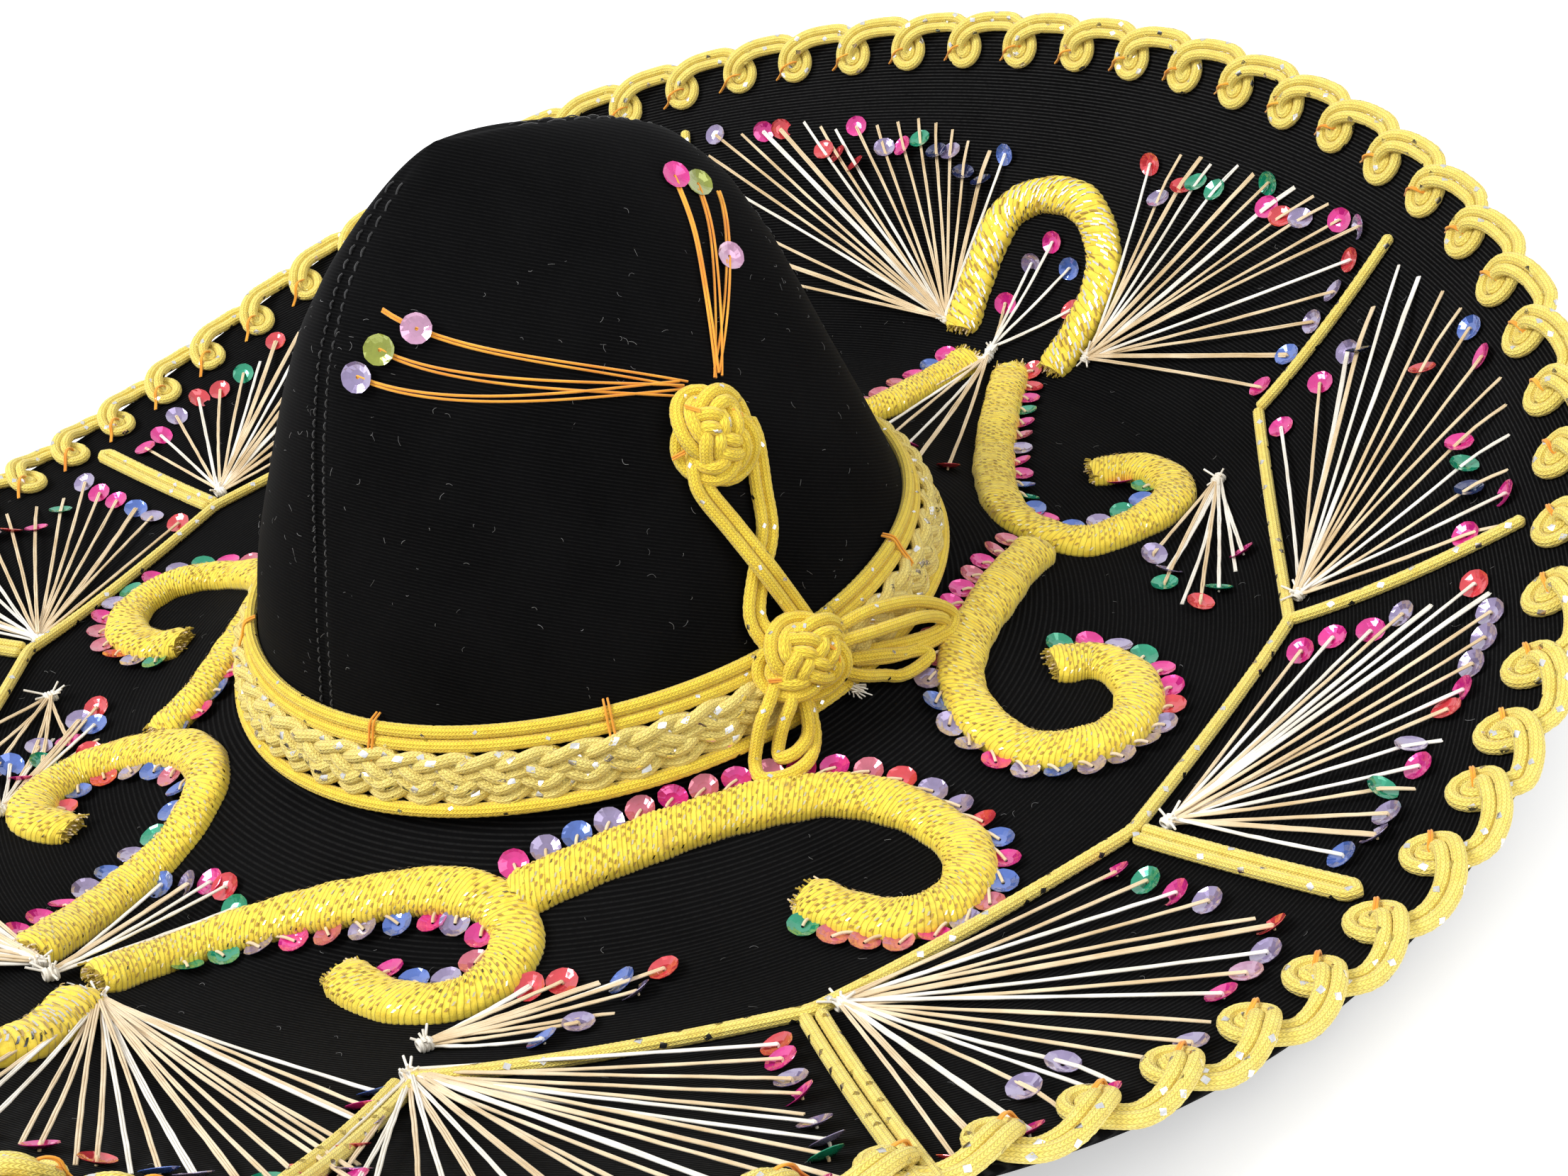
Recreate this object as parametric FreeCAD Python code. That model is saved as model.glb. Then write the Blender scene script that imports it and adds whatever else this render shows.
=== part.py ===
import FreeCAD, Part
import math
import os

# Wide-brimmed embroidered hat. Millimetres, +Z up, front of the hat towards -Y.
# Origin: centre of the head opening, on the plane the brim rests on.
V = FreeCAD.Vector

# ---- driving dimensions ----
HEAD_A, HEAD_B = 88.0, 99.0        # half width and half length of the head opening
CROWN_A, CROWN_B = 92.4, 103.4     # half width and half length of the crown at its foot
CROWN_FOOT = 19.4                  # height of the crown's foot above the resting plane
CROWN_TOP = 166.5
RING_TOP = 5.2                     # top of the brim at its lowest ring
RING_R = 145.0                     # where the inner slope meets the ring
INNER_RISE = 14.0                  # from the ring up to the crown's foot
CURL_POWER = 1.43                  # how quickly the brim curls up towards the rim
LINING_T, BOARD_T, VELVET_T = 0.8, 3.4, 1.0
CORD_R = 2.1
SCROLL_W, SCROLL_H = 7.0, 3.4      # half width and half height of a wrapped scroll
THREAD_R = 0.75
SEQUIN_R = 3.3
LOOP_COUNT = 72
SECTIONS = 24                      # loft sections on each half of the hat


# ---- brim surface ----
def rim_radius(p):
    return (264.9 - 0.2 * math.sin(p) - 5.8 * math.cos(2 * p) + 1.5 * math.sin(3 * p)
            - 4.2 * math.cos(4 * p) + 1.7 * math.sin(5 * p))


def rim_rise(p):
    return (49.6 + 15.4 * math.sin(p) - 32.3 * math.cos(2 * p) - 0.6 * math.sin(3 * p)
            - 6.1 * math.cos(4 * p) + 1.8 * math.sin(5 * p))


def ellipse_radius(a, b, p):
    return a * b / math.hypot(b * math.cos(p), a * math.sin(p))


def brim_z(r, p):
    curl_start = 169.0 + 16.6 * math.sin(p)
    out = max(0.0, (r - curl_start) / (rim_radius(p) - curl_start))
    foot = ellipse_radius(CROWN_A, CROWN_B, p)
    climb = min(1.0, max(0.0, (RING_R - r) / (RING_R - foot)))
    return RING_TOP + rim_rise(p) * out ** CURL_POWER + INNER_RISE * climb ** 1.3


def brim_slope(r, p):
    return (brim_z(r + 0.5, p) - brim_z(r - 0.5, p)) / 1.0


def brim_normal(r, p):
    m = brim_slope(r, p)
    n = V(-m * math.cos(p), -m * math.sin(p), 1.0)
    return n.normalize()


def brim_point(r, p, lift=0.0):
    base = V(r * math.cos(p), r * math.sin(p), brim_z(r, p))
    return base + brim_normal(r, p) * lift


def over_brim(x, y, lift=0.0):
    return brim_point(math.hypot(x, y), math.atan2(y, x), lift)


# ---- crown surface: height, half width, front, back ----
CROWN_LEVELS = [
    (19.4, 92.4, -103.4, 103.4),
    (48.0, 87.2, -95.5, 93.0),
    (78.0, 75.5, -87.0, 84.5),
    (108.0, 56.0, -78.0, 79.0),
    (128.0, 41.0, -69.5, 71.5),
    (143.0, 28.0, -59.0, 56.5),
    (153.0, 17.5, -48.0, 34.0),
    (160.0, 9.5, -36.0, 10.0),
    (164.5, 4.0, -27.0, -9.0),
    (166.5, 0.9, -22.0, -18.0),
]


def crown_size(z):
    for low, high in zip(CROWN_LEVELS, CROWN_LEVELS[1:]):
        if z <= high[0]:
            t = (z - low[0]) / (high[0] - low[0])
            return [a + (b - a) * t for a, b in zip(low[1:], high[1:])]
    return CROWN_LEVELS[-1][1:]


def crown_point(p, z, lift=0.0):
    w, front, back = crown_size(z)
    mid, half = (front + back) / 2, (back - front) / 2
    n = V(math.cos(p) / w, math.sin(p) / half, 0.45 / 60).normalize()
    return V(w * math.cos(p), mid + half * math.sin(p), z) + n * lift


def crown_push(q, lift):
    w, front, back = crown_size(q.z)
    mid, half = (front + back) / 2, (back - front) / 2
    return crown_point(math.atan2((q.y - mid) / half, q.x / w), q.z, lift)


# ---- building blocks ----
def spline(points):
    curve = Part.BSplineCurve()
    last = len(points) - 1
    curve.interpolate(Points=points, Parameters=[i / last for i in range(last + 1)])
    return curve.toShape()


def section_wire(chains):
    edges = []
    for chain in chains:
        edges.append(spline(chain) if len(chain) > 2 else Part.makeLine(chain[0], chain[1]))
    return Part.Wire(edges)


def both_halves(wires):
    half = Part.makeLoft(wires, True, False)
    return half.fuse(half.mirror(V(0, 0, 0), V(1, 0, 0)))


def half_angles():
    return [math.radians(-90 + 180.0 * i / SECTIONS) for i in range(SECTIONS + 1)]


def brim_layer(low, high, edge_gap):
    wires = []
    for p in half_angles():
        inner = ellipse_radius(HEAD_A, HEAD_B, p)
        outer = rim_radius(p) - edge_gap
        radii = [inner + (outer - inner) * i / 17.0 for i in range(18)]
        under = [brim_point(r, p, low - RING_TOP) for r in radii]
        over = [brim_point(r, p, high - RING_TOP) for r in radii]
        wires.append(section_wire([under, [under[-1], over[-1]], over[::-1], [over[0], under[0]]]))
    return both_halves(wires)


def ring_profile(place, outline):
    wires = []
    for p in half_angles():
        corner = [place(p, a, b) for a, b in outline]
        wires.append(Part.makePolygon(corner + corner[:1]))
    return both_halves(wires)


def ring_tube(centre, radius, flat=1.0):
    wires = []
    out_steps = [math.radians(30 * i) for i in range(13)]
    for p in half_angles():
        c = centre(p)
        out = V(math.cos(p), math.sin(p), 0)
        loop = [c + out * (radius * math.cos(t)) + V(0, 0, radius * flat * math.sin(t)) for t in out_steps]
        loop[-1] = loop[0]
        wires.append(Part.Wire([spline(loop[0:7]), spline(loop[6:13])]))
    return both_halves(wires)


def crown_body(depth):
    wires = []
    for z, w, front, back in CROWN_LEVELS:
        mid, half = (front + back) / 2, (back - front) / 2
        w = w * (CROWN_A - depth) / CROWN_A
        half = half * (CROWN_B - depth) / CROWN_B
        tall = CROWN_TOP - CROWN_FOOT
        level = CROWN_FOOT + (z - CROWN_FOOT) * (tall - depth) / tall
        oval = Part.Ellipse(V(0, half, 0), V(w, 0, 0), V(0, 0, 0)) if half > w else None
        if oval is None:
            oval = Part.Ellipse(V(w, 0, 0), V(0, half, 0), V(0, 0, 0))
        wire = Part.Wire([oval.toShape()])
        wire.translate(V(0, mid, level))
        wires.append(wire)
    return Part.makeLoft(wires, True, False)


def tube(points, radius, away):
    """A tube along straight runs. away is a direction that no run follows."""
    wires = []
    turn = [math.radians(30 * k) for k in range(13)]
    for i, q in enumerate(points):
        ahead = points[min(i + 1, len(points) - 1)] - points[max(i - 1, 0)]
        side = ahead.cross(away).normalize()
        up = side.cross(ahead).normalize()
        loop = [q + side * (radius * math.cos(a)) + up * (radius * math.sin(a)) for a in turn]
        loop[-1] = loop[0]
        wires.append(Part.Wire([spline(loop[0:7]), spline(loop[6:13])]))
    return Part.makeLoft(wires, True, True)


def along(points, step):
    path = [points[0]]
    for a, b in zip(points, points[1:]):
        n = max(1, int(math.hypot(b[0] - a[0], b[1] - a[1]) / step))
        path += [(a[0] + (b[0] - a[0]) * i / n, a[1] + (b[1] - a[1]) * i / n) for i in range(1, n + 1)]
    return path


def scroll(points):
    track = Part.BSplineCurve()
    track.interpolate([V(x, y, 0) for x, y in points])
    count = 2 * len(points)
    wires = []
    for i in range(count + 1):
        t = track.FirstParameter + (track.LastParameter - track.FirstParameter) * i / count
        q, d = track.value(t), track.tangent(t)[0]
        r, p = math.hypot(q.x, q.y), math.atan2(q.y, q.x)
        n = brim_normal(r, p)
        side = d.cross(n).normalize()
        ahead = n.cross(side).normalize()
        centre = brim_point(r, p, SCROLL_H + 0.15)
        turn = [math.radians(30 * k) for k in range(13)]
        loop = [centre + side * (SCROLL_W * math.cos(a)) + n * (SCROLL_H * math.sin(a)) for a in turn]
        loop[-1] = loop[0]
        wires.append(Part.Wire([spline(loop[0:7]), spline(loop[6:13])]))
    return Part.makeLoft(wires, True, False)


def spread(line, count):
    legs = [math.hypot(b[0] - a[0], b[1] - a[1]) for a, b in zip(line, line[1:])]
    total = sum(legs)
    ends = []
    for i in range(count):
        want = total * i / (count - 1.0)
        k = 0
        while k < len(legs) - 1 and want > legs[k]:
            want -= legs[k]
            k += 1
        a, b = line[k], line[k + 1]
        ends.append((a[0] + (b[0] - a[0]) * want / legs[k], a[1] + (b[1] - a[1]) * want / legs[k]))
    return ends


def flip(points):
    return [(-x, y) for x, y in points]


def fan_threads(fans):
    rods = []
    for centre, line, count in fans:
        start = over_brim(centre[0], centre[1], 2.0)
        for x, y in spread(line, count):
            end = over_brim(x, y, 1.2)
            rods.append(Part.makeCylinder(THREAD_R, (end - start).Length, start, end - start))
    return Part.makeCompound(rods)


def sequin(q, n):
    return Part.makeCylinder(SEQUIN_R, 0.5, q, n)


def fan_sequins(fans, back_off=3.0):
    discs = []
    for centre, line, count in fans:
        for x, y in spread(line, count)[::2]:
            length = math.hypot(x - centre[0], y - centre[1])
            k = 1.0 - back_off / length
            x, y = centre[0] + (x - centre[0]) * k, centre[1] + (y - centre[1]) * k
            r, p = math.hypot(x, y), math.atan2(y, x)
            discs.append(sequin(brim_point(r, p, 3.6), brim_normal(r, p)))
    return Part.makeCompound(discs)


def row_sequins(rows):
    discs = []
    for points, offset in rows:
        path = along(points, 7.5)
        for a, b in zip(path, path[1:]):
            dx, dy = b[0] - a[0], b[1] - a[1]
            size = math.hypot(dx, dy)
            x, y = a[0] + dy / size * offset, a[1] - dx / size * offset
            r, p = math.hypot(x, y), math.atan2(y, x)
            discs.append(sequin(brim_point(r, p, 0.8), brim_normal(r, p)))
    return Part.makeCompound(discs)


# ---- embroidery layout on the brim, seen from above ----
CORNERS = [(119, 174), (175, 88), (183, -6), (157, -98), (100, -166)]
RIM_ENDS = [(144, 212), (227, 117), (241, -8), (223, -140), (132, -214)]
HAIRPIN_BACK = [(-13, 199), (-14, 214), (-11, 229), (2, 235), (19, 234), (32, 225), (36, 213), (30, 191)]
HAIRPIN_FRONT = [(9, -189), (22, -206), (26, -219), (18, -231), (2, -236), (-14, -231), (-22, -219), (-18, -200)]
STEM_BACK = [(14, 190), (29, 161), (50, 127), (71, 104), (87, 100), (98, 104), (105, 115), (109, 130),
             (107, 142), (97, 149), (86, 148), (78, 140)]
STEM_BACK_LEFT = [(-4, 192), (-8, 170), (-13, 147), (-30, 125), (-56, 108), (-81, 101), (-97, 104),
                  (-105, 115), (-109, 130), (-107, 142), (-97, 149), (-86, 148), (-78, 140)]
SIDE_BACK = [(95, 86), (98, 66), (104, 42), (109, 24), (117, 10), (127, 3), (139, 4), (150, 9), (160, 17),
             (165, 30), (162, 43), (155, 51), (145, 52), (134, 47)]
SIDE_FRONT = [(68, -104), (76, -90), (84, -76), (94, -59), (105, -43), (116, -32), (131, -26), (147, -28),
              (156, -36), (159, -47), (154, -58), (142, -63), (127, -64)]
SIDE_FRONT_LEFT = [(-80, -104), (-80, -91), (-85, -76), (-94, -59), (-104, -44), (-115, -34), (-130, -31),
                   (-145, -36), (-154, -48), (-152, -63), (-142, -72), (-129, -73), (-117, -68)]
STEM_FRONT = [(2, -182), (2, -167), (6, -151), (16, -138), (32, -125), (47, -114), (62, -108), (74, -110),
              (80, -119), (80, -131), (73, -140), (61, -144), (46, -143)]
STEM_FRONT_LEFT = [(-19, -186), (-27, -167), (-33, -147), (-35, -129), (-41, -115), (-52, -108), (-67, -107),
                   (-83, -113), (-91, -126), (-88, -140), (-79, -148), (-67, -144)]

FANS_BACK = [
    ((-20, 201), [(-17, 244), (-58, 242), (-105, 229), (-135, 214), (-119, 183)], 20),
    ((42, 196), [(42, 242), (74, 240), (105, 230), (134, 214), (130, 203), (115, 181)], 18),
]
FANS_SIDE = [
    ((172, 99), [(131, 167), (143, 180), (143, 200), (151, 203), (181, 181), (206, 155), (214, 130), (208, 114)], 18),
    ((189, 1), [(184, 76), (200, 82), (208, 91), (228, 101), (234, 78), (233, 52), (238, 25), (233, 2)], 18),
    ((161, -92), [(187, -20), (205, -20), (231, -21), (237, -48), (235, -72), (232, -98), (225, -132)], 20),
    ((98, -164), [(157, -110), (186, -132), (214, -155), (200, -178), (176, -198), (150, -212), (128, -209)], 20),
]
FANS_FRONT = [((13, -187), [(99, -175), (118, -190), (136, -204), (112, -226), (76, -238), (40, -243)], 20)]
FANS_SMALL = [
    ((118, 150), [(119, 111), (128, 101), (141, 89), (145, 100), (145, 120)], 7),
    ((88, -152), [(90, -124), (99, -113), (116, -102), (112, -124), (108, -135)], 7),
]
FAN_NEAR_CORNER = [((-131, -108), [(-125, -126), (-115, -131), (-104, -128), (-108, -118)], 6)]
FANS_CENTRE = [
    ((3, 195), [(1, 209), (4, 221), (12, 226), (22, 218), (27, 209)], 5),
    ((3, 192), [(-16, 148), (-4, 138), (11, 126), (29, 116), (40, 116)], 7),
    ((-6, -188), [(-24, -143), (-15, -137), (-6, -133), (1, -138)], 5),
]


def mirrored(fans):
    return [((-c[0], c[1]), flip(line), count) for c, line, count in fans]


# ---- brim ----
parts = {}
underside = brim_layer(-0.4, LINING_T, 0.4)
parts["brim_underside"] = underside.common(Part.makeBox(700, 700, 200, V(-350, -350, 0)))
parts["brim_board"] = brim_layer(LINING_T, LINING_T + BOARD_T, 4.4)
parts["brim_velvet"] = brim_layer(LINING_T + BOARD_T, RING_TOP, 0.4)


def at_rim(p, a, b):
    return brim_point(rim_radius(p) + a, p, b - RING_TOP)


EDGE_WIRE = [(1.3 * math.cos(math.radians(45 * i)) - 2.4, 1.3 * math.sin(math.radians(45 * i)) + 2.5)
             for i in range(8)]
parts["brim_edge_wire"] = ring_profile(at_rim, EDGE_WIRE)
BINDING = [(-6.0, 6.0), (-0.4, 6.0), (0.9, 4.8), (0.9, 0.2), (-0.4, -1.1), (-6.0, -1.1),
           (-6.0, -0.5), (-0.5, -0.5), (0.2, 0.4), (0.2, 4.6), (-0.5, 5.3), (-6.0, 5.3)]
parts["brim_edge_binding"] = ring_profile(at_rim, BINDING)

# ---- crown ----
outer_velvet = crown_body(0.0).cut(crown_body(VELVET_T))
right_side = Part.makeBox(200, 400, 300, V(0, -200, 0))
parts["crown_velvet_right"] = outer_velvet.common(right_side)
parts["crown_velvet_left"] = outer_velvet.cut(right_side)
parts["crown_shell"] = crown_body(VELVET_T).cut(crown_body(3.8))
parts["crown_lining"] = crown_body(3.8).cut(crown_body(4.4))


def sweat_corner(p, a, b):
    outer = ellipse_radius(HEAD_A - 1.4, HEAD_B - 1.4, p)
    lean = 0.2 * max(0.0, b - CROWN_FOOT)
    return V((outer + a - lean) * math.cos(p), (outer + a - lean) * math.sin(p), b)


parts["sweatband"] = ring_profile(sweat_corner, [(0, 15.0), (0, 19.4), (0, 52.0), (-1.2, 52.0), (-1.2, 15.0)])


# ---- rim trim ----
def rim_centre(p):
    return at_rim(p, CORD_R + 1.2, 2.6)


parts["rim_cord"] = ring_tube(rim_centre, CORD_R)
loops = []
for i in range(LOOP_COUNT):
    p = math.radians(360.0 * (i + 0.5) / LOOP_COUNT)
    r = rim_radius(p) - 8.0
    loops.append(Part.makeTorus(4.2, CORD_R, brim_point(r, p, CORD_R + 1.4), brim_normal(r, p)))
parts["rim_loops"] = Part.makeCompound(loops)


# ---- hat band ----
def band_ring(gap, z):
    def centre(p):
        w, front, back = crown_size(z)
        r = ellipse_radius(w + gap, (back - front) / 2 + gap, p)
        return V(r * math.cos(p), r * math.sin(p), z)
    return centre


parts["band_plait"] = ring_tube(band_ring(4.2, 30.0), 3.2, 2.2)
parts["band_cord_top"] = ring_tube(band_ring(3.0, 43.8), 2.0)
parts["band_cord_middle"] = ring_tube(band_ring(3.0, 39.4), 2.0)
parts["band_cord_foot"] = ring_tube(band_ring(8.6, 20.6), 2.0)

# ---- knots on the crown ----
KNOT_TOP = V(74.5, -7.0, 94.0)
KNOT_FOOT = V(100.5, -8.0, 33.0)


def knot(centre, out, size):
    balls = [Part.makeSphere(size, centre)]
    up = V(-0.3, 0, 1).normalize()
    side = out.cross(up).normalize()
    for k in range(6):
        a = math.radians(60 * k)
        q = centre + side * (size * 0.85 * math.cos(a)) + up * (size * 1.1 * math.sin(a))
        balls.append(Part.makeSphere(size * 0.62, q))
    return balls[0].multiFuse(balls[1:])


parts["knot_upper"] = knot(KNOT_TOP, V(1, 0, 0.3), 7.6)
parts["knot_lower"] = knot(KNOT_FOOT, V(1, 0, 0.2), 7.6)
LEG_LIFT = 3.2
front_leg = [crown_push(q, LEG_LIFT) for q in [V(70, -16, 82), V(80, -15, 66), V(86, -10, 52), V(90, -5, 46)]]
back_leg = [crown_push(q, LEG_LIFT + 4.4) for q in [V(70, 2, 82), V(80, -9, 66), V(86, -16, 52), V(90, -20, 46)]]
parts["knot_leg_front"] = tube(front_leg, CORD_R, V(1, 0, 0))
parts["knot_leg_back"] = tube(back_leg, CORD_R, V(1, 0, 0))
side_loop = [V(106, 2, 36), V(109, 12, 37), V(109, 22, 33), V(108, 27, 28), V(108, 22, 25), V(107, 10, 26)]
parts["knot_loop_side"] = tube(side_loop, CORD_R, V(1, 0, 0))
hanging_loop = [V(107, -13, 25), V(111, -16, 22), V(115, -21, 19.5), V(112, -27, 20), V(108, -24, 22.5),
                V(106, -18, 27)]
parts["knot_loop_hanging"] = tube(hanging_loop, CORD_R, V(0, 0, 1))


# ---- threads and sequins on the crown ----
def crown_thread(a, b):
    steps = [a + (b - a) * (i / 8.0) for i in range(9)]
    return tube([crown_push(q, 1.3) for q in steps], 0.7, V(1, 0, 0.2))


THREAD_HEAD = V(60, -6, 103)
FRONT_ENDS = [V(13, -60, 138), V(15, -65, 130), V(12, -72, 125)]
BACK_ENDS = [V(25, 34, 139), V(27, 40, 134), V(29, 47, 130), V(42, 34, 119)]
parts["crown_threads_front"] = Part.makeCompound([crown_thread(THREAD_HEAD, q) for q in FRONT_ENDS])
parts["crown_threads_back"] = Part.makeCompound([crown_thread(THREAD_HEAD + V(0, 10, 0), q) for q in BACK_ENDS])
crown_discs = []
for q in FRONT_ENDS + BACK_ENDS:
    foot = crown_push(q, 2.4)
    crown_discs.append(sequin(foot, foot - crown_push(q, 0.0)))
parts["crown_sequins"] = Part.makeCompound(crown_discs)

# ---- wrapped scrolls ----
parts["hairpin_back"] = scroll(HAIRPIN_BACK)
parts["hairpin_front"] = scroll(HAIRPIN_FRONT)
parts["scroll_back_right"] = scroll(STEM_BACK)
parts["scroll_back_left"] = scroll(STEM_BACK_LEFT)
parts["scroll_side_back_right"] = scroll(SIDE_BACK)
parts["scroll_side_back_left"] = scroll(flip(SIDE_BACK))
parts["scroll_side_front_right"] = scroll(SIDE_FRONT)
parts["scroll_side_front_left"] = scroll(SIDE_FRONT_LEFT)
parts["scroll_front_right"] = scroll(STEM_FRONT)
parts["scroll_front_left"] = scroll(STEM_FRONT_LEFT)

# ---- couched cords ----
for name, side in (("right", 1), ("left", -1)):
    corners = [(side * x, y) for x, y in CORNERS]
    ends = [(side * x, y) for x, y in RIM_ENDS]
    zigzag = [over_brim(x, y, CORD_R + 0.2) for x, y in along(corners, 22.0)]
    parts["zigzag_cord_" + name] = tube(zigzag, CORD_R, V(0, 0, 1))
    spokes = []
    for a, b in zip(corners, ends):
        size = math.hypot(b[0] - a[0], b[1] - a[1])
        start = (a[0] + (b[0] - a[0]) * 4.6 / size, a[1] + (b[1] - a[1]) * 4.6 / size)
        line = [over_brim(x, y, CORD_R + 0.2) for x, y in along([start, b], 14.0)]
        spokes.append(tube(line, CORD_R, V(0, 0, 1)))
    parts["radial_cords_" + name] = Part.makeCompound(spokes)

# ---- thread fans ----
fans = {
    "back": FANS_BACK,
    "right": FANS_SIDE,
    "left": mirrored(FANS_SIDE),
    "front": FANS_FRONT + mirrored(FANS_FRONT),
    "small": FANS_SMALL + mirrored(FANS_SMALL) + FAN_NEAR_CORNER,
    "centre": FANS_CENTRE,
}
for name, group in fans.items():
    parts["fan_threads_" + name] = fan_threads(group)
    parts["fan_sequins_" + name] = fan_sequins(group)
heads = [c for group in fans.values() for c, line, count in group]
parts["fan_heads"] = Part.makeCompound([Part.makeSphere(1.9, over_brim(x, y, 2.2)) for x, y in heads])

# ---- sequin rows beside the scrolls ----
parts["row_sequins_right"] = row_sequins([(STEM_BACK[:6], -10.5), (SIDE_BACK, 10.5), (SIDE_FRONT, -10.5),
                                          (STEM_FRONT[1:8], 10.5)])
parts["row_sequins_left"] = row_sequins([(flip(SIDE_BACK), -10.5), (SIDE_FRONT_LEFT, 10.5),
                                         (STEM_FRONT_LEFT[2:10], 10.5)])

os.makedirs("parts", exist_ok=True)
for name, shape in parts.items():
    shape.exportStep("parts/" + name + ".step")
    print(name, shape.isValid(), round(shape.Volume), shape.BoundBox.ZMin)
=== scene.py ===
import math

import bpy
import numpy as np
from mathutils import Matrix, Vector


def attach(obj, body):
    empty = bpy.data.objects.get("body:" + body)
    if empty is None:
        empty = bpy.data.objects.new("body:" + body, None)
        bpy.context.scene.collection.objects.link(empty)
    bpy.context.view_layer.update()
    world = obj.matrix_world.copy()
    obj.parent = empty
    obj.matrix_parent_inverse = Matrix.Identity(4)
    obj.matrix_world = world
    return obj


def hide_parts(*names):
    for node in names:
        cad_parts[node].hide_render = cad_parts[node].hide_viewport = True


# Embroidered wide-brimmed hat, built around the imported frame. Lengths in this script are millimetres;
# Piece.make() turns them into metres. Front of the hat towards -Y, up is +Z, as in the frame.
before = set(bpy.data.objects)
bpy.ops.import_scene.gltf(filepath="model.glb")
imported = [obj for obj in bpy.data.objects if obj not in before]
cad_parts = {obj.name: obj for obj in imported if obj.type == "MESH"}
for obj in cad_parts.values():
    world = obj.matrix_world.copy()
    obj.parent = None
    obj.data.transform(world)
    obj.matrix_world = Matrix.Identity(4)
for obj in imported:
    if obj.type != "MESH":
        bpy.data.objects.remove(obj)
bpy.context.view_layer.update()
rng = np.random.default_rng(11)
MM = 0.001
TURN = 2 * math.pi

# ---------------- driving sizes
RING_TOP = 5.2                      # top of the brim at its lowest ring
RING_R = 145.0                      # inside this radius the brim climbs to the crown
INNER_RISE = 14.0                   # height of that climb
CURL_POWER = 1.43                   # how quickly the outer brim rises towards the rim
BRIM_T, EDGE_T = 5.2, 2.2           # thickness of the brim and of its rim
CROWN_FOOT, CROWN_TOP = 19.2, 166.4
CROWN_A, CROWN_B = 92.4, 103.4      # half width and half length of the crown's foot
HEAD_A, HEAD_B = 88.0, 99.0         # half width and half length of the head opening
CORD = 1.75                         # radius of a couched cord and of each cord in the rim trim
KNOT_CORD = 1.8
FINE_STEP = 0.6                     # distance between a cord's rings of points
TRIM_LOOPS = 73
TRIM_START = 45.3                   # angle of one curl of the rim trim, degrees
TRIM_PITCH = 22.6                   # length of rim that CURL is drawn for
SEQUIN = 3.95                       # radius of a sequin
BRIM_GRID = (110, 420)              # rows and columns of points in each brim cloth
CROWN_GRID = (150, 130)


# ---------------- the brim's surface
def rim_radius(p):
    return (264.9 - 0.2 * np.sin(p) - 5.8 * np.cos(2 * p) + 1.5 * np.sin(3 * p)
            - 4.2 * np.cos(4 * p) + 1.7 * np.sin(5 * p))


def rim_rise(p):
    return (49.6 + 15.4 * np.sin(p) - 32.3 * np.cos(2 * p) - 0.6 * np.sin(3 * p)
            - 6.1 * np.cos(4 * p) + 1.8 * np.sin(5 * p))


def trim_radius(p):
    """Where the trim's cords turn at the rim."""
    return rim_radius(p) + 1.0 + 5.0 * np.cos(p) ** 2


def edge_radius(p):
    return trim_radius(p) - 1.2


def ellipse_radius(a, b, p):
    return a * b / np.hypot(b * np.cos(p), a * np.sin(p))


def polar(r, p):
    return np.stack([r * np.cos(p), r * np.sin(p)], -1)


def brim_z(x, y):
    r, p = np.hypot(x, y), np.arctan2(y, x)
    start = 169.0 + 16.6 * np.sin(p)
    out = np.clip((r - start) / (rim_radius(p) - start), 0, 1.3)
    foot = ellipse_radius(CROWN_A, CROWN_B, p)
    climb = np.clip((RING_R - r) / (RING_R - foot), 0, 1)
    return RING_TOP + rim_rise(p) * out ** CURL_POWER + INNER_RISE * climb ** 1.3


def unit(v):
    return v / np.maximum(np.linalg.norm(v, axis=-1, keepdims=True), 1e-9)


def brim_up(q):
    x, y = q[..., 0], q[..., 1]
    h = 0.4
    dx = (brim_z(x + h, y) - brim_z(x - h, y)) / (2 * h)
    dy = (brim_z(x, y + h) - brim_z(x, y - h)) / (2 * h)
    return unit(np.stack([-dx, -dy, np.ones_like(dx)], -1))


def on_brim(xy, lift=0.0):
    xy = np.asarray(xy, float)
    q = np.stack([xy[..., 0], xy[..., 1], brim_z(xy[..., 0], xy[..., 1])], -1)
    return q + brim_up(q) * np.asarray(lift, float)[..., None]


# ---------------- the crown's surface
# Height, half width, front and back of the crown at each level.
LEVELS = np.array([
    (19.2, 92.4, -103.4, 103.4), (34.0, 90.4, -99.5, 98.0), (48.0, 87.2, -95.5, 93.0),
    (63.0, 82.2, -91.5, 88.5), (78.0, 75.5, -87.0, 84.5), (93.0, 66.5, -82.8, 81.5),
    (108.0, 56.0, -78.0, 78.0), (128.0, 41.0, -69.5, 70.0), (143.0, 28.0, -59.0, 56.5),
    (153.0, 17.5, -48.0, 36.0), (160.0, 9.5, -37.0, 11.0), (164.5, 4.0, -28.0, -9.0),
    (166.4, 0.7, -22.0, -18.0),
])
HEIGHTS = np.linspace(CROWN_FOOT, CROWN_TOP, 300)


def smooth_level(column):
    raw = np.interp(HEIGHTS, LEVELS[:, 0], LEVELS[:, column])
    weights = np.hanning(31)
    padded = np.pad(raw, 15, mode="reflect", reflect_type="odd")
    return np.convolve(padded, weights / weights.sum(), mode="valid")


WIDTHS, FRONTS, BACKS = smooth_level(1), smooth_level(2), smooth_level(3)


def crown_size(z):
    """Half width, middle and half length of the crown at a height."""
    w = np.maximum(np.interp(z, HEIGHTS, WIDTHS), 0.4)
    front, back = np.interp(z, HEIGHTS, FRONTS), np.interp(z, HEIGHTS, BACKS)
    return w, (front + back) / 2, np.maximum((back - front) / 2, 1.0)


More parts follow.
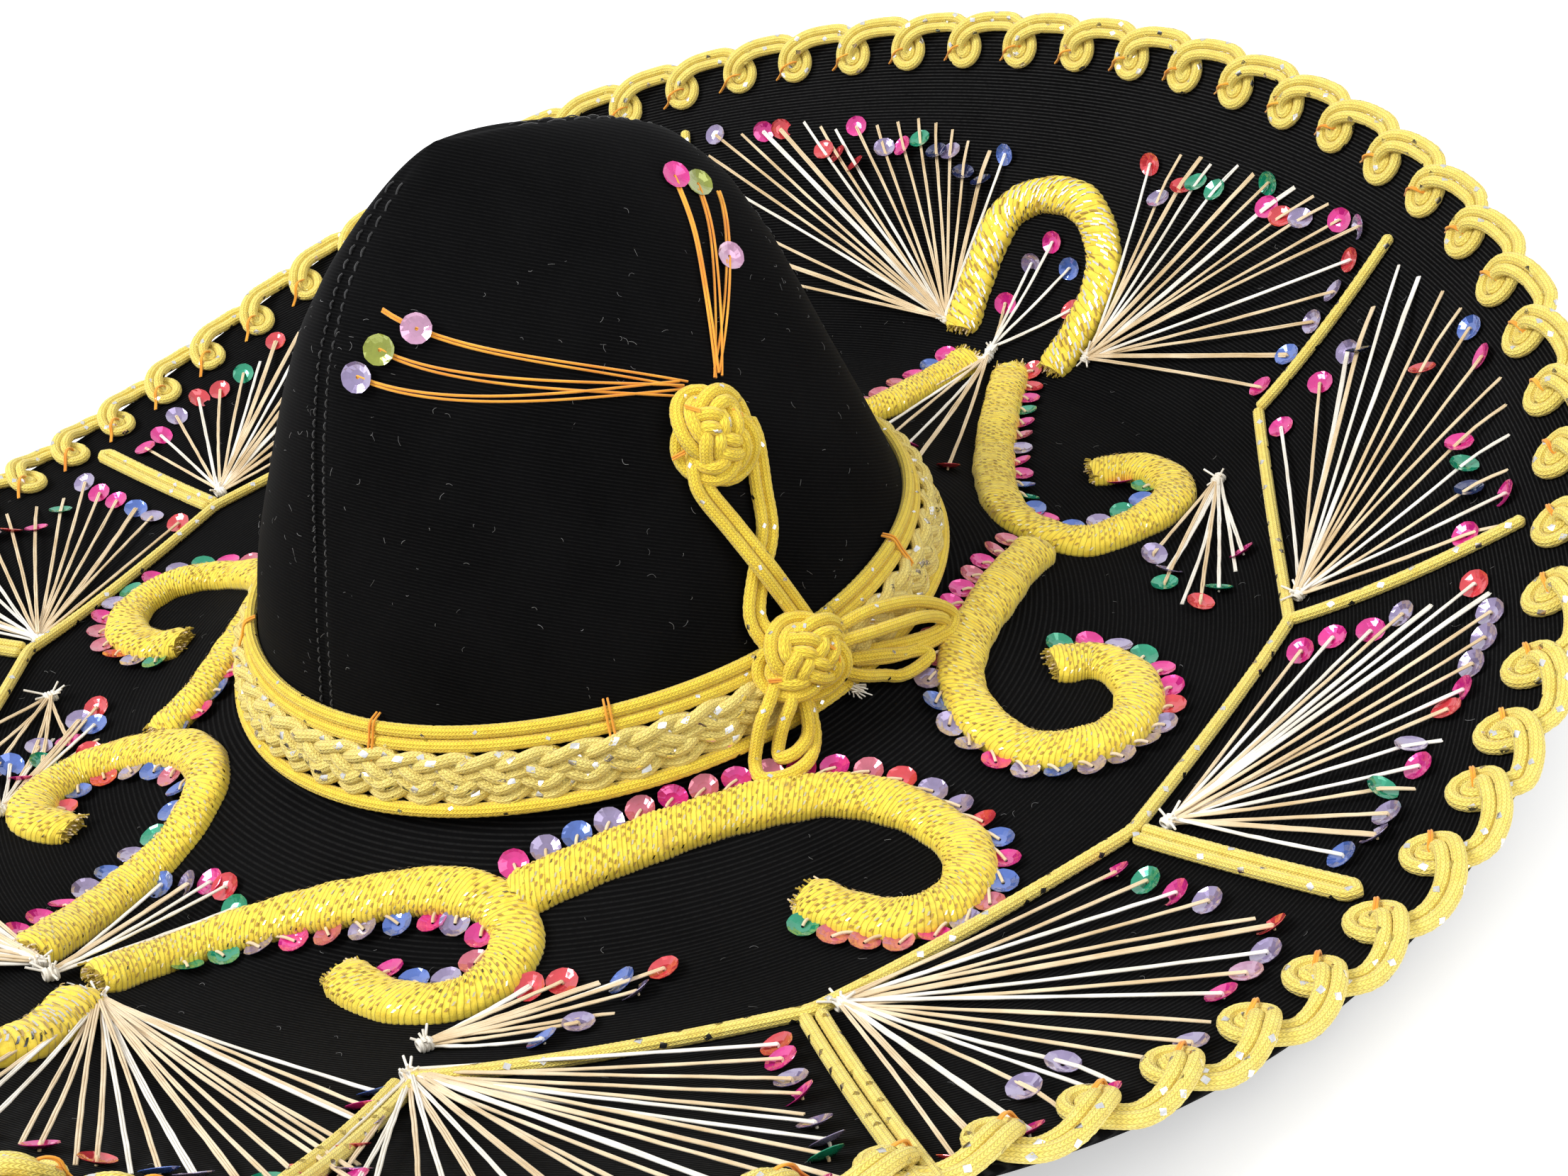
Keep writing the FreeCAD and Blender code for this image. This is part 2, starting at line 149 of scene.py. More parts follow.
def ring_on_crown(z, gap, p):
    w, mid, half = crown_size(z)
    return np.stack([(w + gap) * np.cos(p), mid + (half + gap) * np.sin(p), z + 0 * p], -1)


def crown_level(q):
    w, mid, half = crown_size(q[..., 2])
    return (q[..., 0] / w) ** 2 + ((q[..., 1] - mid) / half) ** 2


def crown_up(q):
    h = 0.5
    steps = np.eye(3) * h
    return unit(np.stack([(crown_level(q + d) - crown_level(q - d)) / (2 * h) for d in steps], -1))


def on_crown(p, z, lift=0.0):
    q = ring_on_crown(z, 0.0, p)
    return q + crown_up(q) * np.asarray(lift, float)[..., None]


def push_to_crown(q, lift):
    q = np.asarray(q, float)
    w, mid, half = crown_size(q[..., 2])
    p = np.arctan2((q[..., 1] - mid) / half, q[..., 0] / w)
    return on_crown(p, q[..., 2], np.zeros(q.shape[:-1]) + lift)


# ---------------- meshes
def grid_faces(rows, cols, wrap_rows=False, wrap_cols=False):
    i = np.arange(rows if wrap_rows else rows - 1)[:, None]
    j = np.arange(cols if wrap_cols else cols - 1)[None, :]
    i2, j2 = (i + 1) % rows, (j + 1) % cols
    return np.stack([i * cols + j, i * cols + j2, i2 * cols + j2, i2 * cols + j], -1).reshape(-1, 4)


class Piece:
    """Collects parts of one visible piece: vertices in millimetres, faces and their material numbers."""

    def __init__(self):
        self.verts, self.faces, self.mats, self.weaves, self.count = [], [], [], [], 0

    def add(self, verts, faces, mat=0, weave=None):
        self.verts.append(verts)
        self.weaves.append(np.zeros((len(verts), 3)) if weave is None else weave)
        self.faces.append(faces + self.count)
        self.mats.append(np.full(len(faces), mat))
        self.count += len(verts)

    def grid(self, points, mat=0, weave=None, wrap=(False, True), flip=False):
        """Faces between rows and columns of points. wrap closes the rows and the columns on themselves."""
        faces = grid_faces(*points.shape[:2], *wrap)
        weave = None if weave is None else weave.reshape(-1, 3)
        self.add(points.reshape(-1, 3), faces[:, ::-1] if flip else faces, mat, weave)

    def cap(self, ring, flip, mat=0):
        n = len(ring)
        i = np.arange(n)
        j = (i + 1) % n
        faces = np.stack([i, j, 0 * i + n] if flip else [j, i, 0 * i + n], -1)
        self.add(np.vstack([ring, ring.mean(0)]), faces, mat)

    def make(self, name, materials, nodes, slot, smooth=True):
        mesh = bpy.data.meshes.new(name)
        faces = [f for block in self.faces for f in block.tolist()]
        mesh.from_pydata((np.vstack(self.verts) * MM).tolist(), [], faces)
        for m in materials:
            mesh.materials.append(m)
        mesh.polygons.foreach_set("material_index", np.concatenate(self.mats))
        mesh.polygons.foreach_set("use_smooth", np.full(len(faces), smooth))
        weave = mesh.attributes.new("weave", "FLOAT_VECTOR", "POINT")
        weave.data.foreach_set("vector", np.vstack(self.weaves).reshape(-1))
        mesh.update()
        obj = bpy.data.objects.new(name, mesh)
        bpy.context.scene.collection.objects.link(obj)
        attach(obj, "root")
        if nodes:
            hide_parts(*nodes)
        return obj


def even_steps(line, step):
    line = np.asarray(line, float)
    size = np.linalg.norm(np.diff(line, axis=0), axis=1)
    s = np.concatenate([[0], np.cumsum(size)])
    want = np.linspace(0, s[-1], max(3, int(round(s[-1] / step)) + 1))
    return np.stack([np.interp(want, s, line[:, k]) for k in range(line.shape[1])], -1)


def closed_steps(line, step):
    return even_steps(np.vstack([line, line[:1]]), step)[:-1]


def smooth_path(points, step, closed=False):
    """Points every step millimetres along a smooth line through the given ones."""
    p = np.asarray(points, float)
    n = len(p)
    if closed:
        p = np.vstack([p[-1], p, p[0], p[1]])
    else:
        p = np.vstack([2 * p[0] - p[1], p, 2 * p[-1] - p[-2]])
    t = np.linspace(0, 1, 24, endpoint=False)[:, None]
    line = []
    for k in range(n if closed else n - 1):
        a, b, c, d = p[k:k + 4]
        line.append(0.5 * (2 * b + (c - a) * t + (2 * a - 5 * b + 4 * c - d) * t ** 2
                           + (3 * b - a - 3 * c + d) * t ** 3))
    line.append(line[0][:1] if closed else p[n:n + 1])
    return even_steps(np.vstack(line), step)


def frames(line, up=None, closed=False):
    """Unit directions sideways and up along a line. With no up, they turn as little as they can."""
    ahead = unit(np.roll(line, -1, 0) - np.roll(line, 1, 0) if closed else np.gradient(line, axis=0))
    if up is None:
        side = np.zeros_like(line)
        s = np.cross(ahead[0], [0.31, 0.22, 0.93])
        for i, a in enumerate(ahead):
            s = s - a * s.dot(a)
            s = s / np.linalg.norm(s)
            side[i] = s
    else:
        side = unit(np.cross(ahead, up))
    return side, np.cross(side, ahead)


def relax(line, turns, closed=False):
    """Softens a line's bends, keeping its ends."""
    for _ in range(turns):
        if closed:
            line = (np.roll(line, 1, 0) + line * 2 + np.roll(line, -1, 0)) / 4
        else:
            line[1:-1] = (line[:-2] + 2 * line[1:-1] + line[2:]) / 4
    return line


def at(length, table, s, closed=False):
    """Rows of a table read at distances s along a line with that many millimetres."""
    where = np.linspace(0, length, len(table) + 1)[:-1] if closed else np.linspace(0, length, len(table))
    period = length if closed else None
    rows = [np.interp(s.reshape(-1), where, table[:, k], period=period) for k in range(3)]
    return np.stack(rows, -1).reshape(s.shape + (3,))


def tube(line, side, rise, r, sides):
    """Rings of points round a line. r is one radius, or one for each point of each ring."""
    a = np.linspace(0, TURN, sides, endpoint=False)
    return (line[:, None, :] + (r * np.cos(a))[..., None] * side[:, None, :]
            + (r * np.sin(a))[..., None] * rise[:, None, :])


def thread(piece, line, radius, up=None, sides=6, mat=0):
    """A plain soft thread."""
    verts = tube(line, *frames(line, up), radius, sides)
    piece.grid(verts, mat)
    piece.cap(verts[0], True, mat)
    piece.cap(verts[-1], False, mat)


def chips(piece, line, side, rise, radius, s, a, size, slant, closed):
    """Small bright bent plates (material 1) lying on a cord at distances s and angles a."""
    total = np.linalg.norm(line[1] - line[0]) * (len(line) if closed else len(line) - 1)
    u = np.array([-1, 0, 1])[:, None] * size[0] / 2
    v = np.array([-1, 0, 1])[None, :] * size[1] / 2
    cos, sin = np.cos(slant)[:, None, None], np.sin(slant)[:, None, None]
    ss = s[:, None, None] + (u * cos - v * sin)
    aa = a[:, None, None] + (u * sin + v * cos) / radius
    ss = ss if closed else np.clip(ss, 0, total)
    spot = [at(total, table, ss, closed) for table in (line, side, rise)]
    verts = spot[0] + spot[1] * (radius * np.cos(aa))[..., None] + spot[2] * (radius * np.sin(aa))[..., None]
    faces = (grid_faces(3, 3)[None] + 9 * np.arange(len(s))[:, None, None]).reshape(-1, 4)
    piece.add(verts.reshape(-1, 3), faces, 1)


def braided_cord(piece, line, radius, up=None, closed=False, fleck_gap=9.0, fleck=(1.6, 1.4),
                 round_ends=True):
    """A knitted cord with bright plates (material 1) caught in it, a pair of them in each fleck_gap."""
    sides, relief = 16, 0.045
    side, rise = frames(line, up, closed)
    n = len(line)
    s = np.arange(n) * np.linalg.norm(line[1] - line[0])
    a = np.linspace(0, TURN, sides, endpoint=False)
    lobes = sides // 4
    wave = TURN / (1.35 * radius)
    left = np.cos(lobes * a[None, :] + wave * s[:, None])
    right = np.cos(lobes * a[None, :] - wave * s[:, None])
    r = radius * (1 + relief * (np.maximum(left, right) - 0.4))
    if round_ends and not closed:
        tip = np.minimum(s, s[-1] - s) / (radius * 0.8)
        r = r * np.where(tip < 1, np.sqrt(np.clip(tip * (2 - tip), 0.04, 1)), 1.0)[:, None]
    verts = tube(line, side, rise, r, sides)
    weave = np.stack([s[:, None] + 0 * a, np.cos(a) + 0 * s[:, None], np.sin(a) + 0 * s[:, None]], -1)
    piece.grid(verts, 0, weave, (closed, True))
    if not closed:
        piece.cap(verts[0], True)
        piece.cap(verts[-1], False)
    starts = np.arange(rng.uniform(1.2, fleck_gap), s[-1] - 1.2, fleck_gap)
    if len(starts) == 0:
        return
    count = len(starts)
    place = np.clip(np.concatenate([starts, starts + rng.uniform(1.8, 4.0, count)]), 1.0, s[-1] - 1.0)
    turn = rng.uniform(0, TURN, count)
    turn = np.concatenate([turn, turn + rng.uniform(1.6, 2.6, count)])
    slant = rng.uniform(0.3, 0.8, len(place)) * rng.choice([-1, 1], len(place))
    chips(piece, line, side, rise, radius * 1.035, place, turn, fleck, slant, closed)


# ---------------- materials
class Look:
    """A new material with short calls for the nodes used here."""

    def __init__(self, name):
        self.material = bpy.data.materials.new(name)
        self.material.use_nodes = True
        self.tree = self.material.node_tree
        self.shader = self.tree.nodes["Principled BSDF"]
        self.coords = self.node("TexCoord", {}).outputs["Object"]

    def fill(self, node, inputs):
        for key, value in inputs.items():
            if hasattr(value, "is_output"):
                self.tree.links.new(value, node.inputs[key])
            else:
                node.inputs[key].default_value = value

    def node(self, kind, inputs, **settings):
        node = self.tree.nodes.new("ShaderNode" + kind)
        for key, value in settings.items():
            setattr(node, key, value)
        self.fill(node, inputs)
        return node

    def math(self, operation, *values):
        return self.node("Math", dict(enumerate(values)), operation=operation).outputs[0]

    def split(self, vector):
        return self.node("SeparateXYZ", {0: vector}).outputs

    def noise(self, scale, detail=3.0, rough=0.6):
        inputs = {"Scale": scale, "Detail": detail, "Roughness": rough, "Vector": self.coords}
        return self.node("TexNoise", inputs).outputs["Fac"]

    def ramp(self, fac, low, high, dark, light):
        node = self.node("ValToRGB", {"Fac": fac})
        for end, place, colour in zip(node.color_ramp.elements, (low, high), (dark, light)):
            end.position = place
            end.color = (*colour, 1)
        return node.outputs["Color"]

    def mix(self, factor, a, b):
        return self.node("Mix", {"Factor": factor, "A": a, "B": b}, data_type="RGBA").outputs["Result"]

    def bump(self, height, strength, distance):
        inputs = {"Strength": strength, "Distance": distance, "Height": height}
        self.finish({"Normal": self.node("Bump", inputs).outputs["Normal"]})

    def finish(self, inputs):
        self.fill(self.shader, inputs)
        return self.material


def velvet(name, ribs, dark=(0.0008, 0.0008, 0.001), light=(0.003, 0.003, 0.0033), sheen=0.02, rib=0.35):
    """Black velvet. ribs is "rings" for lines round the brim, "slant" for fine slanting lines."""
    look = Look(name)
    m = look.math
    x, y, z = look.split(look.coords)
    if ribs == "rings":
        reach = m("SQRT", m("ADD", m("MULTIPLY", x, x), m("MULTIPLY", y, y)))
        across, gap = m("ADD", reach, m("MULTIPLY", z, 0.6)), 0.00125
        # The ribs are painted lighter where the cloth stands up high at the front and back: painted sheen.
        shown = m("ADD", m("MULTIPLY", z, 10.0), rib - 0.1)
    else:
        across, gap, shown = m("ADD", z, m("MULTIPLY", y, 0.55)), 0.0010, rib
    broken = look.noise(900.0, 2.0)
    fine = m("MULTIPLY", m("SINE", m("MULTIPLY", across, TURN / gap)), broken)
    base = look.ramp(look.noise(26.0, 4.0), 0.3, 0.75, dark, light)
    # Lighter rib lines in the base colour: the lines are the cloth's own, but on the brim their brightening
    # with height is painted sheen.
    rib_lines_and_sheen = m("MAXIMUM", m("MULTIPLY", fine, shown), 0.0)
    look.bump(m("ADD", fine, m("MULTIPLY", broken, 0.8)), rib, 0.0003)
    return look.finish({
        "Base Color": look.mix(rib_lines_and_sheen, base, (0.038, 0.038, 0.0385, 1)), "Roughness": 0.95,
        "Specular IOR Level": 0.06, "Sheen Weight": sheen, "Sheen Roughness": 0.35,
        "Sheen Tint": (0.8, 0.82, 0.86, 1)})


WALES = 11              # columns of stitches round a knitted cord
STITCH = 0.92           # length of one stitch


def weave_parts(look):
    return look.split(look.node("Attribute", {}, attribute_name="weave").outputs["Vector"])


def knit_height(look):
    """Chevron stitches in columns along a cord; 0 in the grooves, 1 on the stitches."""
    m = look.math
    along, cos_a, sin_a = weave_parts(look)
    column = m("MULTIPLY", m("ARCTAN2", sin_a, cos_a), WALES / TURN)
    off = m("ABSOLUTE", m("SUBTRACT", m("FRACT", m("ADD", column, 100.0)), 0.5))
    phase = m("SUBTRACT", m("MULTIPLY", along, 1.0 / STITCH), m("MULTIPLY", off, 1.5))
    wave = m("ABSOLUTE", m("SINE", m("MULTIPLY", phase, math.pi)))
    wale = m("ADD", m("MULTIPLY", m("MULTIPLY", off, off), -4.0), 1.0)
    return m("MULTIPLY", m("POWER", wave, 0.6), wale)


def turns_height(look):
    """Turns of wrapping yarn counted by the first part of the weave; 0 in the grooves."""
    m = look.math
    return m("POWER", m("ABSOLUTE", m("SINE", m("MULTIPLY", weave_parts(look)[0], math.pi))), 0.6)


def cord_material(name, dark, light, stain=None, height=knit_height, groove_shade=0.66, depth=0.00032):
    look = Look(name)
    m = look.math
    stitch = height(look)
    colour = look.ramp(look.noise(420.0, 4.0), 0.3, 0.7, dark, light)
    # Painted shade: the colour darkens in the grooves between stitches and between turns of yarn.
    shade = m("MINIMUM", m("MULTIPLY", stitch, 2.6), 1.0)
    colour = look.mix(shade, (*[groove_shade * c for c in dark], 1), colour)
    if stain:
        spots = {"From Min": 0.62, "From Max": 0.76, "To Max": 0.75, "Value": look.noise(75.0, 3.0, 0.7)}
        colour = look.mix(look.node("MapRange", spots).outputs[0], colour, (*stain, 1))
    look.bump(m("ADD", stitch, m("MULTIPLY", look.noise(2600.0), 0.35)), 0.8, depth)
    return look.finish({
        "Base Color": colour, "Roughness": 0.72, "Sheen Weight": 0.25, "Sheen Roughness": 0.5})


def two_tone(name, scale, dark, light, inputs, detail=3.0):
    """A plain material whose colour wanders between two tones."""
    look = Look(name)
    tone = look.ramp(look.noise(scale, detail), 0.35, 0.65, dark, light)
    return look, look.finish({"Base Color": tone, **inputs})


def tinsel(name, colour=(1.0, 1.0, 1.0)):
    dark = tuple(0.8 * c for c in colour)
    return two_tone(name, 700.0, dark, colour, {"Metallic": 1.0, "Roughness": 0.22})[1]


def thread_material(name, dark, light):
    look, material = two_tone(name, 60.0, dark, light, {"Roughness": 0.8, "Sheen Weight": 0.35}, 5.0)
    look.bump(look.noise(3200.0), 0.5, 0.00015)
    return material


def sequin_material(name, colour, clear):
    dark = tuple(0.75 * c for c in colour)
    inputs = {"Roughness": 0.14, "Metallic": 0.35, "Transmission Weight": clear, "Coat Weight": 1.0,
              "Coat Roughness": 0.05}
    return two_tone(name, 140.0, dark, colour, inputs)[1]


BRIM_VELVET = velvet("brim_velvet_mat", "rings")
CROWN_VELVET = velvet("crown_velvet_mat", "slant", rib=0.2)
UNDER_CLOTH = velvet("underside_mat", "rings", (0.006, 0.006, 0.007), (0.015, 0.015, 0.016), 0.05)
LINING = velvet("lining_mat", "slant", (0.012, 0.012, 0.013), (0.03, 0.03, 0.032), 0.1)
BAND_LEATHER = velvet("sweatband_mat", "slant", (0.02, 0.017, 0.014), (0.04, 0.035, 0.03), 0.0)
YELLOW = cord_material("yellow_cord_mat", (0.88, 0.66, 0.11), (1.0, 0.84, 0.2))
KNOT_YELLOW = cord_material("knot_cord_mat", (0.88, 0.6, 0.03), (1.0, 0.77, 0.06))
PALE_YELLOW = cord_material("pale_cord_mat", (0.84, 0.64, 0.14), (0.97, 0.81, 0.25))
WRAP = cord_material("wrap_thread_mat", (0.86, 0.6, 0.03), (1.0, 0.79, 0.075), (0.4, 0.22, 0.03),
                     turns_height, 0.5, 0.0005)
SILVER = tinsel("silver_fleck_mat")
GOLD = tinsel("gold_fleck_mat", (1.0, 0.9, 0.55))
BROWN = thread_material("brown_thread_mat", (0.32, 0.18, 0.03), (0.5, 0.31, 0.06))
CREAM = thread_material("cream_thread_mat", (0.62, 0.45, 0.24), (0.85, 0.7, 0.48))
WHITE = thread_material("white_thread_mat", (0.72, 0.66, 0.55), (0.95, 0.93, 0.88))
ORANGE = thread_material("orange_thread_mat", (0.78, 0.27, 0.012), (0.92, 0.43, 0.03))
LINT = thread_material("lint_mat", (0.06, 0.06, 0.062), (0.3, 0.3, 0.3))
DARK_THREAD = thread_material("dark_thread_mat", (0.004, 0.004, 0.004), (0.02, 0.02, 0.022))
SEQUINS = [
    sequin_material("sequin_pink", (0.85, 0.03, 0.33), 0.1),
    sequin_material("sequin_red", (0.8, 0.06, 0.08), 0.1),
    sequin_material("sequin_green", (0.01, 0.36, 0.2), 0.1),
    sequin_material("sequin_blue", (0.1, 0.2, 0.66), 0.15),
    sequin_material("sequin_lilac", (0.42, 0.34, 0.6), 0.35),
    sequin_material("sequin_rose", (0.7, 0.16, 0.24), 0.15),
    sequin_material("sequin_navy", (0.03, 0.045, 0.16), 0.2),
    sequin_material("sequin_pale", (0.75, 0.4, 0.62), 0.3),
    sequin_material("sequin_lime", (0.4, 0.46, 0.05), 0.35),
]


# ---------------- brim
def crown_foot(p):
    return ellipse_radius(CROWN_A - 1.0, CROWN_B - 1.0, p)


def head_edge(p):
    return ellipse_radius(HEAD_A, HEAD_B, p)


def brim_sheet(inner, wobble=0.0):
    """Rows of points over the brim, from an inner outline to the rim."""
    rows, cols = BRIM_GRID
    p = np.linspace(0, TURN, cols, endpoint=False)
    t = np.linspace(0, 1, rows)[:, None]
    lo, hi = inner(p)[None, :], edge_radius(p)[None, :]
    waves = wobble * np.sin(3 * p)[None, :] * np.sin(t * 9)
    waves = waves + wobble * np.sin(7 * p + 1)[None, :] * np.cos(t * 5)
    return on_brim(polar(lo + (hi - lo) * t, p), waves)


def thickness(q):
    """The brim is thinner towards its rim."""
    x, y = q[..., 0], q[..., 1]
    near = np.clip((np.hypot(x, y) - edge_radius(np.arctan2(y, x)) + 30.0) / 30.0, 0, 1)
    return BRIM_T + (EDGE_T - BRIM_T) * near ** 1.5


top = Piece()
top.grid(brim_sheet(crown_foot, 0.18))
brim_cloth = top.make("brim_velvet_cloth", [BRIM_VELVET], ["brim_velvet", "brim_board"], "black_velvet")

sheet = brim_sheet(head_edge)
sheet = sheet - brim_up(sheet) * thickness(sheet)[..., None]
sheet[..., 2] = np.maximum(sheet[..., 2], 0.0)
under = Piece()
under.grid(sheet, flip=True)
under_cloth = under.make("brim_under_cloth", [UNDER_CLOTH], ["brim_underside"], "brim_lining")

# The tape folds over the rim from the top to the underside: how far past the edge, and height.
FOLD = [(-2.4, 0.1), (-1.6, 0.2), (-0.6, 0.2), (0.2, -0.1), (0.6, -1.1), (0.2, -2.1), (-0.8, -2.6),
        (-4.0, -3.1), (-8.0, -3.5)]
p = np.linspace(0, TURN, 720, endpoint=False)
tape = Piece()
tape.grid(np.array([on_brim(polar(edge_radius(p) + reach, p), lift) for reach, lift in FOLD]))
tape.make("brim_edge_tape", [BRIM_VELVET], ["brim_edge_binding", "brim_edge_wire"], "edge_binding")

# ---------------- crown
SEAM_DIP, SEAM_WIDTH = 0.9, 2.4
LINING_GAP = 4.4


def crown_panel(sign):
    """One of the two panels, from the front seam over the side to the back seam."""
    rows, cols = CROWN_GRID
    z = CROWN_FOOT - 1.5 + (CROWN_TOP + 1.4 - CROWN_FOOT) * np.linspace(0, 1, rows) ** 0.85
    ang = np.linspace(-math.pi / 2, math.pi / 2, cols)
    ang = ang + 0.12 * np.sin(2 * ang)
    zz, pp = np.meshgrid(z, ang, indexing="ij")
    q = on_crown(pp, np.maximum(zz, CROWN_FOOT))
    q[..., 2] = zz
    dip = SEAM_DIP * np.exp(-(q[..., 0] / SEAM_WIDTH) ** 2)
    soft = 0.35 * np.sin(q[..., 2] * 0.09 + q[..., 1] * 0.05) + 0.25 * np.sin(q[..., 1] * 0.13 + 1.3)
    q = q + crown_up(q) * (soft - dip)[..., None]
    q[..., 0] = np.maximum(q[..., 0], 0.0) * sign
    return q


for sign, name in ((1, "right"), (-1, "left")):
    panel = Piece()
    panel.grid(crown_panel(sign), wrap=(False, False), flip=sign > 0)
    cloth = panel.make("crown_panel_" + name, [CROWN_VELVET], ["crown_velvet_" + name], "black_velvet")

# Stitches down the two sides of the seam, at the front and at the back.
seam = Piece()
for end in (-1, 1):
    for z in np.arange(24.0, 160.0, 2.6):
        for x in (-2.1, 2.1):
            a = end * (math.pi / 2 - math.asin(x / crown_size(z)[0]))
            line = on_crown(np.full(4, a), z + np.linspace(0, 1.7, 4), np.array([-0.3, 0.15, 0.15, -0.3]))
            thread(seam, line, 0.22, sides=5)
seam.make("crown_seam_stitches", [DARK_THREAD], (), "black_velvet")

ang = np.linspace(0, TURN, 140, endpoint=False)
zz, pp = np.meshgrid(np.linspace(CROWN_FOOT - 4.0, 161.0, 70), ang, indexing="ij")
w, mid, half = crown_size(np.maximum(zz, CROWN_FOOT) + LINING_GAP * (zz - CROWN_FOOT) / 147.0)
w, half = np.maximum(w - LINING_GAP, 0.2), np.maximum(half - LINING_GAP, 0.5)
inside = Piece()
inside.grid(np.stack([w * np.cos(pp), mid + half * np.sin(pp), zz], -1))
lining = inside.make("crown_inside_cloth", [LINING], ["crown_lining", "crown_shell"], "crown_lining")

# The sweatband's outline: how far out from the head opening, and height.
SWEATBAND = [(-0.2, 14.6), (-1.6, 14.0), (-2.4, 16.0), (-2.6, 30.0), (-3.2, 48.0), (-3.4, 52.0), (-2.0, 52.6),
             (-1.6, 50.0)]


def head_ring(out, high, p):
    xy = polar(ellipse_radius(HEAD_A + out, HEAD_B + out, p), p)
    return np.concatenate([xy, np.full((len(p), 1), high)], -1)


sweat = Piece()
rows = [head_ring(out - 0.17 * max(0.0, high - CROWN_FOOT), high, ang) for out, high in SWEATBAND]
sweat.grid(np.array(rows), flip=True)
for a in np.arange(0, 360, 2.4):
    thread(sweat, head_ring(-3.2, 18.4, math.radians(a) + np.linspace(0, 0.022, 4)), 0.3, sides=5, mat=1)
sweat.make("sweatband_leather", [BAND_LEATHER, CREAM], ["sweatband"], "sweatband")

# ---------------- rim trim
# One curl of the doubled cord: along the rim (towards the back on the right side), in from the edge, height.
CURL = np.array([
    (-16.8, -0.9, 1.3), (-13.0, -0.9, 1.6), (-9.0, -0.6, 2.6), (-5.2, 0.4, 4.2), (-1.6, 2.4, 5.2),
    (1.2, 4.8, 4.8), (2.8, 7.2, 3.4), (3.1, 9.6, 2.3), (2.1, 11.9, 2.0), (0.0, 12.9, 1.9),
    (-2.1, 12.0, 1.8), (-3.1, 9.8, 1.7), (-2.9, 7.2, 1.7), (-1.2, 4.6, 1.7), (1.6, 2.0, 1.6),
    (3.9, 0.1, 1.4),
])
# The stitch over each curl, laid out the same way.
TIE = np.array([
    (8.4, 12.8, 0.5), (6.2, 11.6, 2.6), (4.6, 10.4, 5.0), (2.4, 9.2, 5.6), (0.4, 8.6, 4.4), (-0.3, 8.3, 3.0)])


def curl_angle(k, t):
    """Angles t along the rim from the middle of a curl; the spacing is a little uneven on the right side."""
    p = TRIM_START + k * 360.0 / TRIM_LOOPS
    p = math.radians(p + math.exp(-(((p + 180.0) % 360.0 - 184.0) / 6.0) ** 2))
    return p + t / TRIM_PITCH * (TURN / TRIM_LOOPS)


def from_rim(p, n, h):
    """Points at angles p, n in from the rim along the brim's slope, and h above it."""
    edge = trim_radius(p)
    return on_brim(polar(edge - n * brim_up(polar(edge, p))[:, 2], p), h)


def trim_line():
    """The middle of the trim's doubled cord."""
    rows = []
    t, n, h = CURL.T
    far = n > 3
    for k in range(TRIM_LOOPS):
        sway = rng.normal(0, 0.35, 3)
        rows.append(np.stack([curl_angle(k, t) + far * sway[0] / 265.0, n + far * sway[1], h], -1))
    return from_rim(*np.vstack(rows).T)


centre = relax(smooth_path(trim_line(), 0.55, closed=True), 12, True)
side = frames(centre, brim_up(centre), True)[0]
for shift, label in ((-CORD, "inner"), (CORD, "outer")):
    strand = relax(centre + side * shift, 3, True)
    cuts = np.linspace(0, len(strand), 5).astype(int)
    for k in range(4):
        bit = even_steps(strand[np.arange(cuts[k], cuts[k + 1] + 1) % len(strand)], FINE_STEP)
        cord = Piece()
        braided_cord(cord, bit, CORD, brim_up(bit), round_ends=False)
        nodes = ["rim_cord", "rim_loops"] if label == "inner" and k == 0 else ()
        cord.make(f"rim_trim_{label}_{k + 1}", [YELLOW, SILVER], nodes, "yellow_cord")

stitches = Piece()
for k in range(TRIM_LOOPS):
    t, n, h = TIE.T
    line = smooth_path(from_rim(curl_angle(k, t), n, h) + rng.normal(0, 0.12, (6, 3)), 0.8)
    thread(stitches, line, 0.35)
    thread(stitches, line + [0.5, 0.3, 0.2], 0.3)
stitches.make("rim_trim_stitches", [ORANGE], (), "orange_thread")


# ---------------- hat band
def crown_out(q):
    return unit(np.stack([q[..., 0] / CROWN_A ** 2, q[..., 1] / CROWN_B ** 2, 0 * q[..., 2]], -1))


PLAIT_STRANDS, PLAIT_WAVES = 4, 14
# Name, node, height, gap from the velvet and radius of each plain cord.
BAND_CORDS = [("upper", "top", 41.6, 1.9, 1.75), ("second", "middle", 38.4, 2.4, 1.75),
              ("lower", "foot", 23.2, 5.2, 1.9)]
p = np.linspace(0, TURN, 1400, endpoint=False)
for k in range(PLAIT_STRANDS):
    theta = PLAIT_WAVES * p + k * TURN / PLAIT_STRANDS
    line = ring_on_crown(30.8 + 3.8 * np.sin(theta), 4.0 - 1.3 * np.cos(3 * theta), p)
    line = closed_steps(line, FINE_STEP)
    out = crown_out(line)
    cord = Piece()
    for shift in (-1.6, 1.6):
        braided_cord(cord, line + frames(line, out, True)[0] * shift, 1.7, out, True, 5.5, (1.9, 1.5))
    nodes = ["band_plait"] if k == 0 else ()
    cord.make(f"band_plait_strand_{k + 1}", [PALE_YELLOW, SILVER], nodes, "yellow_cord")

for name, node, z, gap, radius in BAND_CORDS:
    line = closed_steps(ring_on_crown(z, gap, p), FINE_STEP)
    line[:, 2] += 0.25 * np.sin(5 * np.arctan2(line[:, 1], line[:, 0]))
    cord = Piece()
    braided_cord(cord, line, radius, crown_out(line), True, 14.0, (1.1, 0.8))
    cord.make("band_cord_" + name, [KNOT_YELLOW, SILVER], ["band_cord_" + node], "yellow_cord")

ties = Piece()
z, gap = np.array([(44.5, 0.6), (43.6, 3.6), (40.0, 4.4), (36.6, 5.4), (35.0, 5.6)]).T
for a in (-78, -40, 20, 75, 130, 190, 235):
    for shift in (0.0, 0.012):
        thread(ties, smooth_path(ring_on_crown(z, gap, np.full(5, math.radians(a) + shift)), 0.8), 0.33)
ties.make("band_ties", [ORANGE], (), "orange_thread")

